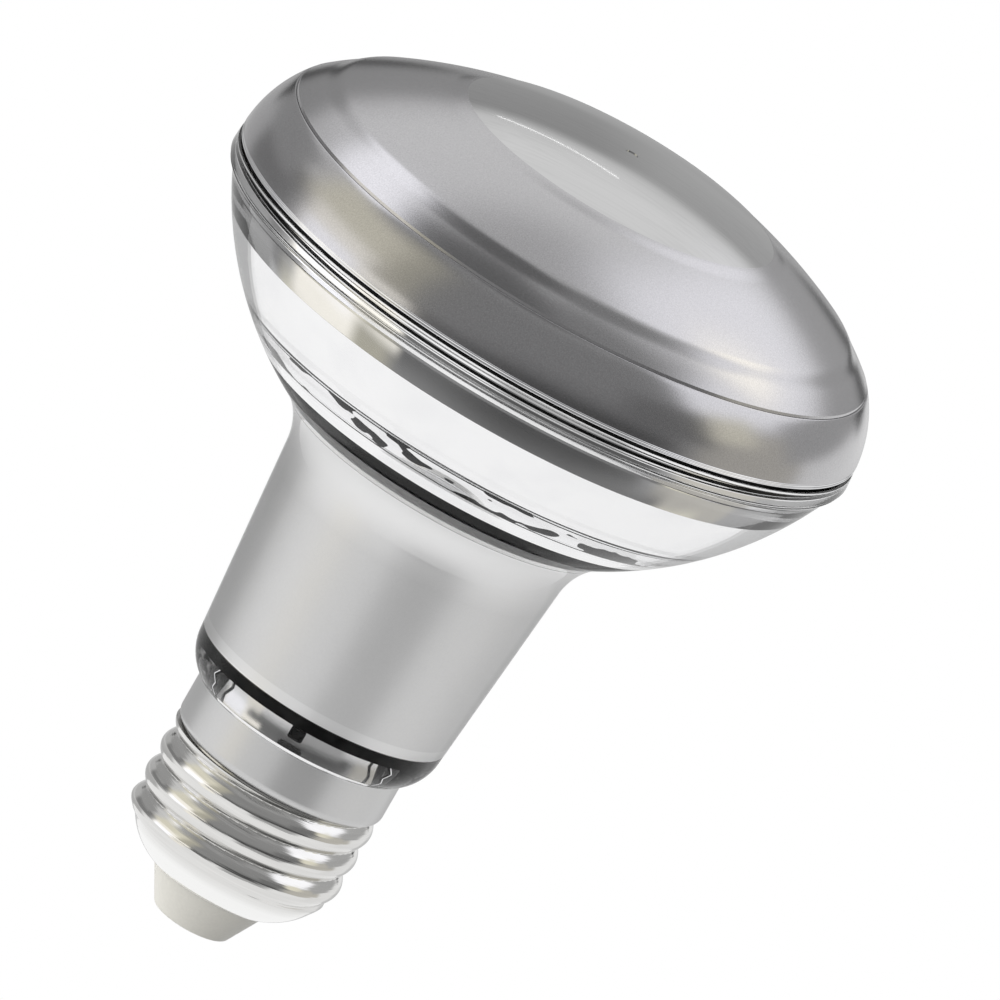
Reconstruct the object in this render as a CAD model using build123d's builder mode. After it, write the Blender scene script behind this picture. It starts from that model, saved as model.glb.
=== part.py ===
"""Reflector LED lamp with a screw cap: clear bowl over a mirror, satin front with a polished window."""

import os
from math import radians, sin, sqrt

from build123d import *

# Millimetres. z runs up the lamp's axis from the tip of the end contact, +Z towards the front window.

# Slide fit between pieces that slip into each other, and how closely a round edge is told from its radius
fit_clear = 0.1
radius_tol = 0.01

# End contact
contact_head_r = 2.8
contact_tip_r = 1.8
contact_head_h = 0.45
contact_stem_r = 0.9
contact_stem_stub = 0.2

# Insulator of the cap
insulator_end_r = 4.7
insulator_cone_h = 5.2
insulator_top_r = 7.5
insulator_edge_r = 0.5
insulator_flange_shy = 0.55
insulator_flange_t = 2.0
insulator_neck_h = 1.5

# Screw shell
shell_h = 15.55
shell_wall = 0.5
shell_lip_w = 0.35
shell_dome_h = 3.95
thread_crest_r = 13.1
thread_depth = 0.95
thread_pitch = 3.629
thread_half_width = 1.5
thread_start_h = 2.92
thread_top_gap = 0.1
thread_bite = 0.3
thread_runout_h = 2.2
thread_runout_drop = 1.2

# Driver housing with its collar
collar_proud = 0.03
collar_h = 5.9
collar_edge_r = 1.2
housing_wall = 0.95
spigot_h = 8.2
tab_clear = 0.2
tab_wall = 1.0
tab_h = 3.5
tab_half_angle = 55.0
window_half_w = 0.9
window_h = 1.4
window_drop = 0.2
window_edge_r = 0.3
foot_slot_half_w = 1.45
foot_slot_h = 0.8

# Insulating tube around the driver
tube_wall = 0.8
tube_setback = 1.0
latch_side_clear = 0.2
latch_clear = 0.35
latch_shy = 0.4

# Clear body: neck and bowl
glass_h = 57.8
glass_wall = 1.2
lip_proud = 0.17
lip_wall = 0.4
lip_h = 4.35
lip_bulge = 0.56
lip_bulge_inside = 0.36
neck_low_r = 15.63
neck_taper = 0.088
neck_fillet_r = 9.0
bowl_centre_rise = 17.53
rim_r = 40.0
rim_h = 3.4
rim_flare = 1.15
rim_flare_h = 1.7
rim_edge_r = 0.5

# Neck sleeve with the deck that carries the light board
sleeve_wall = 1.2
sleeve_clear = 0.15
sleeve_rise = 5.1
deck_drop = 5.33
deck_t = 1.5
flare_rise = 0.27

# Bowl reflector: its edge and ridges above the foot of the bowl, and its flange below the rim
reflector_gap = 0.35
reflector_wall = 1.0
reflector_step = 0.4
reflector_low_rise = 1.75
ridge_rise_low = 3.95
ridge_rise_mid = 6.55
ridge_rise_high = 8.95
flange_drop = 6.5
reflector_lip_t = 0.8
reflector_lip_clear = 0.3

# Seal and front cover
seal_t = 0.3
seal_setback = 0.4
cover_inset = 0.13
cover_wall = 1.3
cover_foot_w = 3.2
cover_foot_h = 1.4
shoulder_r = 13.5
shoulder_drop = 0.6
dome_r = 67.5
step_inset = 3.02
step_h = 0.3
step_fade_w = 3.45
step_hollow = 0.08

# Centre lens
lens_r = 20.0
lens_dome_r = 78.0
lens_proud = 0.15
lens_edge_h = 2.0
lens_edge_r = 0.3
lens_ledge_w = 1.6
lens_ledge_t = 0.9
gate_mark_r = 0.8
gate_mark_depth = 0.1

# Light board, light packages, screws and the beam reflector
light_board_margin = 0.2
light_board_t = 1.2
light_ring_r = 4.6
light_ring_count = 6
light_ring_turn = 30
light_side = 2.8
light_h = 0.7
screw_gap = 0.8
screw_count = 3
screw_ring_turn = 90
screw_r = 1.25
screw_head_r = 2.0
screw_head_h = 1.5
screw_reach = 1.2
beam_clear = 1.22
beam_wall = 0.8
beam_foot_h = 0.8
beam_top_clear = 0.15

# Driver board and what is soldered to it
driver_board_t = 1.2
driver_board_drop = 3.0
driver_board_clear = 0.28
driver_board_rise = 1.0
bulk_clear = 1.1
bulk_gap = 3.55
bulk_drop = 4.0
bulk_edge_r = 0.5
film_width = 9.0
film_depth = 5.0
film_h = 8.0
film_rise = 5.5
choke_r = 3.5
choke_core_r = 2.2
choke_clear = 1.33
choke_flange_t = 1.2
choke_rise = 10.0
transformer_width = 8.0
transformer_clear = 1.1
transformer_gap = 0.8
transformer_top_gap = 3.55
bridge_width = 6.4
bridge_depth = 2.4
bridge_h = 4.7
bridge_drop = 2.3
chip_width = 5.0
chip_depth = 1.6
chip_h = 3.5
chip_gap = 0.7
fuse_r = 1.3
fuse_length = 8.0
fuse_rise = 3.0
fuse_edge_r = 0.65

# Wires inside the lamp
supply_wire_r = 0.5
supply_wire_rise = 4.0
live_x = 3.0
live_bend_h = 1.6
neutral_x = -6.0
neutral_drop = 1.75
neutral_shy = 0.25
wire_bend_r = 1.6
light_wire_r = 0.45
light_wire_inset = 1.3
light_wire_lap = 6.0
light_wire_stub = 0.2

# Heights that follow from the stack of pieces along the axis
z_insulator = contact_head_h
z_shell = z_insulator + insulator_cone_h
z_insulator_flange = z_shell + insulator_neck_h
z_insulator_top = z_insulator_flange + insulator_flange_t
z_stem_top = z_insulator_top + contact_stem_stub
z_collar = z_shell + shell_h
z_spigot = z_collar - spigot_h
z_tube = z_spigot + tube_setback
z_glass = z_collar + collar_h
z_tab_top = z_glass + tab_h
z_neck = z_glass + lip_h
z_sleeve = z_glass + sleeve_rise
z_rim = z_glass + glass_h
z_rim_foot = z_rim - rim_h
z_cover = z_rim + seal_t
z_driver_board = z_tube + driver_board_rise
z_bowl_centre = z_rim_foot + bowl_centre_rise

# Radii that follow
thread_root_r = thread_crest_r - thread_depth
shell_bore_r = thread_root_r - shell_wall
shell_lip_r = insulator_top_r + shell_lip_w
insulator_flange_r = (shell_lip_r + shell_bore_r) / 2 - insulator_flange_shy
spigot_r = shell_bore_r - fit_clear
housing_bore_r = spigot_r - housing_wall
tube_r = housing_bore_r - fit_clear
tube_bore_r = tube_r - tube_wall
collar_r = thread_crest_r + collar_proud
lip_r = collar_r + lip_proud
lip_bore_r = lip_r - lip_wall
tab_r = lip_bore_r - tab_clear
rim_foot_r = rim_r - rim_flare
bowl_sphere_r = sqrt(rim_foot_r**2 + bowl_centre_rise**2)
cover_r = rim_r - cover_inset
lens_bore_r = lens_r + fit_clear
ledge_bore_r = lens_bore_r - lens_ledge_w
beam_bore_r = light_ring_r + light_side / sqrt(2) + beam_clear
beam_low_r = beam_bore_r + beam_wall
screw_ring_r = beam_low_r + screw_gap + screw_head_r
light_board_r = screw_ring_r + screw_head_r + light_board_margin
light_wire_x = beam_bore_r - light_wire_inset
light_wire_y = driver_board_t / 2 + light_wire_r

# Centres of the front's arcs: the shoulder runs smoothly into the dome, and the lens stands on the dome's edge
shoulder_centre_r = cover_r - shoulder_r
z_shoulder_centre = z_cover - shoulder_drop
z_dome_centre = z_shoulder_centre - sqrt((dome_r - shoulder_r) ** 2 - shoulder_centre_r**2)
z_lens_edge = z_dome_centre + sqrt(dome_r**2 - lens_bore_r**2) + lens_proud
z_lens_seat = z_lens_edge - lens_edge_h
z_lens_centre = z_lens_edge - sqrt(lens_dome_r**2 - lens_r**2)
z_lens_apex = z_lens_centre + lens_dome_r

# Upright plane through the axis for half sections, turned away from the place where the thread starts
section_plane = Plane((0, 0, 0), x_dir=(1, 1, 0), z_dir=(1, -1, 0))


def turn(*corners, mode=Mode.ADD):
    """Revolve a closed half section, given by (radius, height) corners, about the lamp's axis."""
    with BuildSketch(section_plane) as section:
        with BuildLine():
            Polyline(*corners, close=True)
        make_face()
    revolve(section.sketch, axis=Axis.Z, mode=mode)


def arc_points(radius, centre_r, centre_z, start_r, end_r):
    """Start, middle and end of an arc on the upper, outer quarter of a circle, given by its end radii."""
    middle_r = (start_r + end_r) / 2
    return [
        (r, centre_z + sqrt(radius**2 - (r - centre_r) ** 2))
        for r in (start_r, middle_r, end_r)
    ]


def bowl_radius(z, inset):
    """Radius at height z of the sphere that is set in from the bowl's outside."""
    return sqrt((bowl_sphere_r - inset) ** 2 - (z - z_bowl_centre) ** 2)


def neck_radius(z, inset):
    """Radius at height z of the tapered neck, set in from its outside."""
    return neck_low_r + neck_taper * (z - z_neck) - inset


def neck_top(inset):
    """Height where the tapered neck runs into the bowl's sphere."""
    base_r = neck_radius(0, inset)
    a = 1 + neck_taper**2
    b = 2 * (base_r * neck_taper - z_bowl_centre)
    c = base_r**2 + z_bowl_centre**2 - (bowl_sphere_r - inset) ** 2
    return (-b - sqrt(b**2 - 4 * a * c)) / (2 * a)


def body_core(inset, z_low, z_high):
    """Solid of the neck and bowl, set in from their outside, between two heights."""
    z_join = neck_top(inset)
    join = (neck_radius(z_join, inset), z_join)
    z_middle = (z_join + z_rim_foot) / 2
    top = (bowl_radius(z_rim_foot, inset), z_rim_foot)
    with BuildPart() as core:
        with BuildSketch(Plane.XZ) as section:
            with BuildLine():
                Polyline((0, z_rim_foot), (0, z_neck), (neck_radius(z_neck, inset), z_neck), join)
                ThreePointArc(join, (bowl_radius(z_middle, inset), z_middle), top)
                Line(top, (0, z_rim_foot))
            make_face()
            fillet(section.vertices().sort_by_distance(join)[0], neck_fillet_r + inset)
        revolve(axis=Axis.Z)
        split(bisect_by=Plane.XY.offset(z_high), keep=Keep.BOTTOM)
        split(bisect_by=Plane.XY.offset(z_low), keep=Keep.TOP)
    return core.part


def rings(builder, ring_r):
    """Round edges of a given radius, from the lowest to the highest."""
    circles = builder.edges().filter_by(GeomType.CIRCLE)
    return circles.filter_by(lambda edge: abs(edge.radius - ring_r) < radius_tol).sort_by(Axis.Z)


# Heights and radii that follow from where the neck runs into the bowl
sleeve_inset = glass_wall + sleeve_clear
reflector_inset = glass_wall + reflector_gap
rim_bore_r = bowl_radius(z_rim_foot, glass_wall)
z_flare = neck_top(sleeve_inset) + flare_rise
z_deck = neck_top(sleeve_inset) - deck_drop
z_light_board = z_deck + deck_t
z_lights = z_light_board + light_board_t
z_tube_top = z_deck - fit_clear
z_driver_board_top = z_deck - driver_board_drop

os.makedirs("parts", exist_ok=True)

# End contact: a domed head under the insulator and a stem that the live wire is soldered to
with BuildPart() as centre_contact:
    turn(
        (0, 0),
        (contact_tip_r, 0),
        (contact_head_r, contact_head_h / 2),
        (contact_head_r, contact_head_h),
        (contact_stem_r, contact_head_h),
        (contact_stem_r, z_stem_top),
        (0, z_stem_top),
    )
centre_contact.part.label = "centre_contact"
export_step(centre_contact.part, "parts/centre_contact.step")

# Insulator: a cone that shows below the shell and a flange that lies inside it
with BuildPart() as cap_insulator:
    cone_rise = insulator_top_r - insulator_end_r
    collar_top_r = insulator_top_r + cone_rise * insulator_neck_h / insulator_cone_h
    turn(
        (contact_stem_r, z_insulator),
        (insulator_end_r, z_insulator),
        (insulator_top_r, z_shell),
        (collar_top_r, z_insulator_flange),
        (insulator_flange_r, z_insulator_flange),
        (insulator_flange_r, z_insulator_top),
        (contact_stem_r, z_insulator_top),
    )
    fillet(rings(cap_insulator, insulator_end_r)[0], insulator_edge_r)
cap_insulator.part.label = "cap_insulator"
export_step(cap_insulator.part, "parts/cap_insulator.step")

# Ridge of the screw thread: a half round swept along a helix, faded out over the shell's rounded foot
z_shell_dome = z_shell + shell_dome_h
z_thread_start = z_shell + thread_start_h
z_thread_end = z_collar - thread_top_gap
z_runout = z_shell_dome - thread_runout_drop
with BuildPart() as thread_ridge:
    with BuildLine(Plane.XY.offset(z_thread_start)) as thread_path:
        Helix(thread_pitch, z_collar - z_thread_start, thread_root_r)
    with BuildSketch(Plane(thread_path.line @ 0, x_dir=(1, 0, 0), z_dir=thread_path.line % 0)):
        Ellipse(thread_crest_r - thread_root_r, thread_half_width)
        with Locations((-thread_bite, 0)):
            Rectangle(
                thread_crest_r,
                thread_pitch,
                align=(Align.MAX, Align.CENTER),
                mode=Mode.SUBTRACT,
            )
    sweep(path=thread_path.line, is_frenet=True)
    turn(
        (0, z_runout),
        (thread_root_r - thread_bite, z_runout),
        (thread_crest_r + thread_bite, z_runout + thread_runout_h),
        (thread_crest_r + thread_bite, z_thread_end),
        (0, z_thread_end),
        mode=Mode.INTERSECT,
    )

# Screw shell: thin drawn metal with a rounded foot that closes on the insulator
with BuildPart() as screw_shell:
    foot_middle_r = (shell_lip_r + thread_root_r) / 2 + shell_wall
    z_foot_middle = (z_shell + z_shell_dome) / 2 - shell_wall
    foot_shift = shell_wall / sqrt(2)
    with BuildSketch(section_plane):
        with BuildLine():
            ThreePointArc(
                (shell_lip_r + shell_wall, z_shell),
                (foot_middle_r, z_foot_middle),
                (thread_root_r, z_shell_dome),
            )
            Polyline(
                (thread_root_r, z_shell_dome),
                (thread_root_r, z_collar),
                (shell_bore_r, z_collar),
                (shell_bore_r, z_shell_dome),
            )
            ThreePointArc(
                (shell_bore_r, z_shell_dome),
                (foot_middle_r - foot_shift, z_foot_middle + foot_shift),
                (shell_lip_r, z_shell),
            )
            Line((shell_lip_r, z_shell), (shell_lip_r + shell_wall, z_shell))
        make_face()
    revolve(axis=Axis.Z)
    add(thread_ridge.part)
screw_shell.part.label = "screw_shell"
export_step(screw_shell.part, "parts/screw_shell.step")

# Driver housing: a spigot inside the shell, the collar that shows, and two latch tabs in the glass mouth
z_window = z_tab_top - window_drop - window_h / 2
tab_length = 2 * tab_r
with BuildPart() as driver_housing:
    turn(
        (housing_bore_r, z_spigot),
        (spigot_r, z_spigot),
        (spigot_r, z_collar),
        (collar_r, z_collar),
        (collar_r, z_glass),
        (housing_bore_r, z_glass),
    )
    fillet(rings(driver_housing, collar_r)[0], collar_edge_r)
    with BuildSketch(Plane.XY.offset(z_glass)):
        Circle(tab_r)
        Circle(tab_r - tab_wall, mode=Mode.SUBTRACT)
        side_reach = tab_r * sin(radians(tab_half_angle))
        Rectangle(2 * side_reach, 3 * tab_r, mode=Mode.INTERSECT)
    extrude(amount=tab_h)
    with BuildSketch(Plane.XZ.offset(-tab_length)):
        with Locations((0, z_window)):
            RectangleRounded(2 * window_half_w, window_h, window_edge_r)
        with Locations((0, z_glass)):
            Rectangle(2 * foot_slot_half_w, foot_slot_h, align=(Align.CENTER, Align.MIN))
    extrude(amount=2 * tab_length, mode=Mode.SUBTRACT)
driver_housing.part.label = "driver_housing"
export_step(driver_housing.part, "parts/driver_housing.step")

# Insulating tube: stands in the housing up to the deck, with a latch nub in each tab's window
latch_half_w = window_half_w - latch_side_clear
latch_h = window_h - 2 * latch_clear
with BuildPart() as insulating_tube:
    with BuildSketch(Plane.XY.offset(z_window - latch_h / 2)):
        Rectangle(2 * latch_half_w, 2 * (tab_r - latch_shy))
    extrude(amount=latch_h)
    with BuildSketch(Plane.XY.offset(z_tube)):
        Circle(tube_r)
    extrude(amount=z_tube_top - z_tube)
    with BuildSketch(Plane.XY.offset(z_tube)):
        Circle(tube_bore_r)
    extrude(amount=z_tube_top - z_tube, mode=Mode.SUBTRACT)
insulating_tube.part.label = "insulating_tube"
export_step(insulating_tube.part, "parts/insulating_tube.step")

# Clear body: mouth lip, tapered neck, round bowl and rim in one moulding
z_join_out = neck_top(0)
join_out = (neck_radius(z_join_out, 0), z_join_out)
z_bowl_out = (z_join_out + z_rim_foot) / 2
z_join_in = neck_top(glass_wall)
join_in = (neck_radius(z_join_in, glass_wall), z_join_in)
z_bowl_in = (z_join_in + z_rim_foot) / 2
rim_crest = (rim_r, z_rim_foot + rim_flare_h)
neck_bore_r = neck_radius(z_neck, glass_wall)
with BuildPart() as outer_body:
    with BuildSketch(Plane.XZ) as body_section:
        with BuildLine():
            SagittaArc((lip_r, z_glass), (neck_low_r, z_neck), -lip_bulge)
            Line((neck_low_r, z_neck), join_out)
            ThreePointArc(join_out, (bowl_radius(z_bowl_out, 0), z_bowl_out), (rim_foot_r, z_rim_foot))
            Polyline(
                (rim_foot_r, z_rim_foot),
                rim_crest,
                (cover_r, z_rim),
                (rim_bore_r, z_rim),
                (rim_bore_r, z_rim_foot),
            )
            ThreePointArc(
                (rim_bore_r, z_rim_foot),
                (bowl_radius(z_bowl_in, glass_wall), z_bowl_in),
                join_in,
            )
            Line(join_in, (neck_bore_r, z_neck))
            SagittaArc((neck_bore_r, z_neck), (lip_bore_r, z_glass), lip_bulge_inside)
            Line((lip_bore_r, z_glass), (lip_r, z_glass))
        make_face()
        fillet(body_section.vertices().sort_by_distance(join_out)[0], neck_fillet_r)
        fillet(body_section.vertices().sort_by_distance(join_in)[0], neck_fillet_r + glass_wall)
        fillet(body_section.vertices().sort_by_distance(rim_crest)[0], rim_edge_r)
    revolve(axis=Axis.Z)
outer_body.part.label = "outer_body"
export_step(outer_body.part, "parts/outer_body.step")

# Neck sleeve: satin metal behind the glass, flared at its top, with a deck across it for the light board
sleeve_outside = body_core(sleeve_inset, z_sleeve, z_flare)
sleeve_bore_low = body_core(sleeve_inset + sleeve_wall, z_sleeve, z_deck)
sleeve_bore_high = body_core(sleeve_inset + sleeve_wall, z_light_board, z_flare)
with BuildPart() as neck_sleeve:
    add(sleeve_outside)
    add(sleeve_bore_low, mode=Mode.SUBTRACT)
    add(sleeve_bore_high, mode=Mode.SUBTRACT)
    with BuildSketch(Plane.XY.offset(z_deck)):
        with PolarLocations(screw_ring_r, screw_count, start_angle=screw_ring_turn):
            Circle(screw_r + fit_clear)
        with Locations((light_wire_x, light_wire_y), (-light_wire_x, light_wire_y)):
            Circle(light_wire_r + fit_clear)
    extrude(amount=deck_t, mode=Mode.SUBTRACT)
neck_sleeve.part.label = "neck_sleeve"
export_step(neck_sleeve.part, "parts/neck_sleeve.step")

# Bowl reflector: mirror cone in facets parted by fine ridges, an upright flange and a lip under the cover
z_bowl_foot = neck_top(reflector_inset)
facet_heights = [
    z_bowl_foot + reflector_low_rise,
    z_bowl_foot + ridge_rise_low,
    z_bowl_foot + ridge_rise_mid,
    z_bowl_foot + ridge_rise_high,
    z_rim - flange_drop,
]
reflector_outline = []
for z_facet_low, z_facet_high in zip(facet_heights, facet_heights[1:]):
    reflector_outline.append((bowl_radius(z_facet_low, reflector_inset) - reflector_step, z_facet_low))
    reflector_outline.append((bowl_radius(z_facet_high, reflector_inset), z_facet_high))
flange_r = reflector_outline[-1][0] - reflector_step
z_lip = z_rim - reflector_lip_t
lip_edge_r = rim_bore_r - reflector_lip_clear
with BuildPart() as bowl_reflector:
    outside = reflector_outline + [(flange_r, facet_heights[-1]), (flange_r, z_lip), (lip_edge_r, z_lip)]
    inside = [(lip_edge_r, z_rim), (flange_r - reflector_wall, z_rim)]
    inside += [(flange_r - reflector_wall, facet_heights[-1])]
    inside += [(r - reflector_wall, z) for r, z in reversed(reflector_outline[:-1])]
    turn(*outside, *inside)
bowl_reflector.part.label = "bowl_reflector"
export_step(bowl_reflector.part, "parts/bowl_reflector.step")

# Seal between the rim and the front cover
with BuildPart() as rim_seal:
    with BuildSketch(Plane.XY.offset(z_rim)):
        Circle(cover_r - seal_setback)
        Circle(cover_r - cover_foot_w, mode=Mode.SUBTRACT)
    extrude(amount=seal_t)
rim_seal.part.label = "rim_seal"
export_step(rim_seal.part, "parts/rim_seal.step")

# Front cover: satin shoulder and dome with a fine step, a foot on the seal and a seat for the lens
touch_r = shoulder_centre_r * dome_r / (dome_r - shoulder_r)
inner_shoulder_r = shoulder_r - cover_wall
inner_dome_r = dome_r - cover_wall
inner_touch_r = shoulder_centre_r * inner_dome_r / (dome_r - shoulder_r)
foot_bore_r = cover_r - cover_foot_w
z_foot_top = z_cover + cover_foot_h
foot_edge_r = shoulder_centre_r + sqrt(shoulder_r**2 - shoulder_drop**2)
inner_foot_r = shoulder_centre_r + sqrt(inner_shoulder_r**2 - (z_foot_top - z_shoulder_centre) ** 2)
z_ledge = z_lens_seat - lens_ledge_t
ledge_root_r = sqrt(inner_dome_r**2 - (z_ledge - z_dome_centre) ** 2)
outer_dome = arc_points(dome_r, 0, z_dome_centre, lens_bore_r, touch_r)
outer_shoulder = arc_points(shoulder_r, shoulder_centre_r, z_shoulder_centre, touch_r, foot_edge_r)
inner_shoulder = arc_points(
    inner_shoulder_r, shoulder_centre_r, z_shoulder_centre, inner_foot_r, inner_touch_r
)
inner_dome = arc_points(inner_dome_r, 0, z_dome_centre, inner_touch_r, ledge_root_r)
step_r = cover_r - step_inset
step_fade_r = step_r - step_fade_w
step_start = arc_points(shoulder_r, shoulder_centre_r, z_shoulder_centre, step_fade_r, step_r)
with BuildPart() as front_cover:
    with BuildSketch(Plane.XZ):
        with BuildLine():
            ThreePointArc(*outer_dome)
            ThreePointArc(*outer_shoulder)
            Polyline(
                outer_shoulder[2],
                (foot_bore_r, z_cover),
                (foot_bore_r, z_foot_top),
                inner_shoulder[0],
            )
            ThreePointArc(*inner_shoulder)
            ThreePointArc(*inner_dome)
            Polyline(
                inner_dome[2],
                (ledge_bore_r, z_ledge),
                (ledge_bore_r, z_lens_seat),
                (lens_bore_r, z_lens_seat),
                outer_dome[0],
            )
        make_face()
    revolve(axis=Axis.Z)
    step_low = (step_r, step_start[2][1] - step_h)
    chord_z = (step_start[0][1] + step_low[1]) / 2
    z_above_step = step_start[0][1] + cover_wall
    with BuildSketch(Plane.XZ):
        with BuildLine():
            ThreePointArc(step_start[0], (step_start[1][0], chord_z - step_hollow), step_low)
            Polyline(step_low, (step_r, z_above_step), (step_fade_r, z_above_step), step_start[0])
        make_face()
    revolve(axis=Axis.Z, mode=Mode.SUBTRACT)
front_cover.part.label = "front_cover"
export_step(front_cover.part, "parts/front_cover.step")

# Centre lens: polished dome in the cover's seat, with the moulding's gate mark in its middle
lens_top = arc_points(lens_dome_r, 0, z_lens_centre, 0, lens_r)
with BuildPart() as centre_lens:
    with BuildSketch(Plane.XZ):
        with BuildLine():
            ThreePointArc(*lens_top)
            Polyline(lens_top[2], (lens_r, z_lens_seat), (0, z_lens_seat), lens_top[0])
        make_face()
    revolve(axis=Axis.Z)
    fillet(rings(centre_lens, lens_r)[-1], lens_edge_r)
    with BuildSketch(Plane.XY.offset(z_lens_apex - gate_mark_depth)):
        Circle(gate_mark_r)
    extrude(amount=2 * gate_mark_depth, mode=Mode.SUBTRACT)
centre_lens.part.label = "centre_lens"
export_step(centre_lens.part, "parts/centre_lens.step")

# Light board on the deck, with holes for its screws and for the two wires from below
with BuildPart() as light_board:
    with BuildSketch(Plane.XY.offset(z_light_board)):
        Circle(light_board_r)
        with PolarLocations(screw_ring_r, screw_count, start_angle=screw_ring_turn):
            Circle(screw_r + fit_clear, mode=Mode.SUBTRACT)
        with Locations((light_wire_x, light_wire_y), (-light_wire_x, light_wire_y)):
            Circle(light_wire_r + fit_clear, mode=Mode.SUBTRACT)
    extrude(amount=light_board_t)
light_board.part.label = "light_board"
export_step(light_board.part, "parts/light_board.step")

# Light packages: one in the middle and a ring around it
with BuildPart() as light_packages:
    with BuildSketch(Plane.XY.offset(z_lights)):
        Rectangle(light_side, light_side)
        with PolarLocations(light_ring_r, light_ring_count, start_angle=light_ring_turn):
            Rectangle(light_side, light_side)
    extrude(amount=light_h)
light_packages.part.label = "light_packages"
export_step(light_packages.part, "parts/light_packages.step")

# Screws that hold the light board to the deck
with BuildPart() as board_screws:
    with BuildSketch(Plane.XY.offset(z_lights)):
        with PolarLocations(screw_ring_r, screw_count, start_angle=screw_ring_turn):
            Circle(screw_head_r)
    extrude(amount=screw_head_h)
    with BuildSketch(Plane.XY.offset(z_lights)):
        with PolarLocations(screw_ring_r, screw_count, start_angle=screw_ring_turn):
            Circle(screw_r)
    extrude(amount=-(light_board_t + screw_reach))
board_screws.part.label = "board_screws"
export_step(board_screws.part, "parts/board_screws.step")

# Beam reflector: a cone from the light board up to the lens seat
z_beam_top = z_lens_seat - beam_top_clear
beam_top_r = ledge_bore_r - fit_clear
with BuildPart() as beam_reflector:
    turn(
        (beam_bore_r, z_lights),
        (beam_low_r, z_lights),
        (beam_low_r, z_lights + beam_foot_h),
        (beam_top_r, z_beam_top),
        (beam_top_r - beam_wall, z_beam_top),
        (beam_bore_r, z_lights + beam_foot_h),
    )
beam_reflector.part.label = "beam_reflector"
export_step(beam_reflector.part, "parts/beam_reflector.step")

# Driver board: stands on edge along the axis, nearly as wide as the tube's bore
board_face = driver_board_t / 2
board_half_w = sqrt((tube_bore_r - driver_board_clear) ** 2 - board_face**2)
with BuildPart() as driver_board:
    with BuildSketch(Plane.XY.offset(z_driver_board)):
        Rectangle(2 * board_half_w, driver_board_t)
    extrude(amount=z_driver_board_top - z_driver_board)
driver_board.part.label = "driver_board"
export_step(driver_board.part, "parts/driver_board.step")

# Bulk capacitor: a can that lies along the front of the board, above the film capacitor
bulk_r = (tube_bore_r - board_face - bulk_clear) / 2
z_bulk = z_driver_board + film_rise + film_h + bulk_gap
with BuildPart() as bulk_capacitor:
    with BuildSketch(Plane.XY.offset(z_bulk)):
        with Locations((0, -board_face - bulk_r)):
            Circle(bulk_r)
    extrude(amount=z_driver_board_top - bulk_drop - z_bulk)
    fillet(bulk_capacitor.edges().filter_by(GeomType.CIRCLE), bulk_edge_r)
bulk_capacitor.part.label = "bulk_capacitor"
export_step(bulk_capacitor.part, "parts/bulk_capacitor.step")

# Film capacitor: a block on the front of the board, towards the cap
with BuildPart() as film_capacitor:
    with BuildSketch(Plane.XY.offset(z_driver_board + film_rise)):
        with Locations((0, -(board_face + film_depth / 2))):
            Rectangle(film_width, film_depth)
    extrude(amount=film_h)
film_capacitor.part.label = "film_capacitor"
export_step(film_capacitor.part, "parts/film_capacitor.step")

# Transformer: a block on the back of the board, between the driver chip and the bridge rectifier
z_chip = z_driver_board + choke_rise + choke_r + chip_gap
z_transformer = z_chip + chip_h + transformer_gap
z_bridge = z_driver_board_top - bridge_drop - bridge_h
transformer_reach = sqrt((tube_bore_r - transformer_clear) ** 2 - (transformer_width / 2) ** 2)
transformer_depth = transformer_reach - board_face
with BuildPart() as transformer:
    with BuildSketch(Plane.XY.offset(z_transformer)):
        with Locations((0, board_face + transformer_depth / 2)):
            Rectangle(transformer_width, transformer_depth)
    extrude(amount=z_bridge - transformer_top_gap - z_transformer)
transformer.part.label = "transformer"
export_step(transformer.part, "parts/transformer.step")

# Bridge rectifier: a flat block on the back of the board, near the deck
with BuildPart() as bridge_rectifier:
    with BuildSketch(Plane.XY.offset(z_bridge)):
        with Locations((0, board_face + bridge_depth / 2)):
            Rectangle(bridge_width, bridge_depth)
    extrude(amount=bridge_h)
bridge_rectifier.part.label = "bridge_rectifier"
export_step(bridge_rectifier.part, "parts/bridge_rectifier.step")

# Driver chip: a low block on the back of the board, below the transformer
with BuildPart() as driver_chip:
    with BuildSketch(Plane.XY.offset(z_chip)):
        with Locations((0, board_face + chip_depth / 2)):
            Rectangle(chip_width, chip_depth)
    extrude(amount=chip_h)
driver_chip.part.label = "driver_chip"
export_step(driver_chip.part, "parts/driver_chip.step")

# Filter choke: a drum core that stands out from the back of the board
choke_h = sqrt((tube_bore_r - choke_clear) ** 2 - choke_r**2) - board_face
with BuildPart() as filter_choke:
    with BuildSketch(Plane.XZ.offset(-board_face)):
        with Locations((0, z_driver_board + choke_rise)):
            Circle(choke_r)
    extrude(amount=-choke_flange_t)
    with BuildSketch(Plane.XZ.offset(-board_face)):
        with Locations((0, z_driver_board + choke_rise)):
            Circle(choke_core_r)
    extrude(amount=-choke_h)
    with BuildSketch(Plane.XZ.offset(-board_face - choke_h + choke_flange_t)):
        with Locations((0, z_driver_board + choke_rise)):
            Circle(choke_r)
    extrude(amount=-choke_flange_t)
filter_choke.part.label = "filter_choke"
export_step(filter_choke.part, "parts/filter_choke.step")

# Fuse resistor: lies across the back of the board near the cap
with BuildPart() as fuse_resistor:
    with BuildSketch(Plane.YZ.offset(-fuse_length / 2)):
        with Locations((board_face + fuse_r, z_driver_board + fuse_rise)):
            Circle(fuse_r)
    extrude(amount=fuse_length)
    fillet(fuse_resistor.edges().filter_by(GeomType.CIRCLE), fuse_edge_r)
fuse_resistor.part.label = "fuse_resistor"
export_step(fuse_resistor.part, "parts/fuse_resistor.step")

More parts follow.
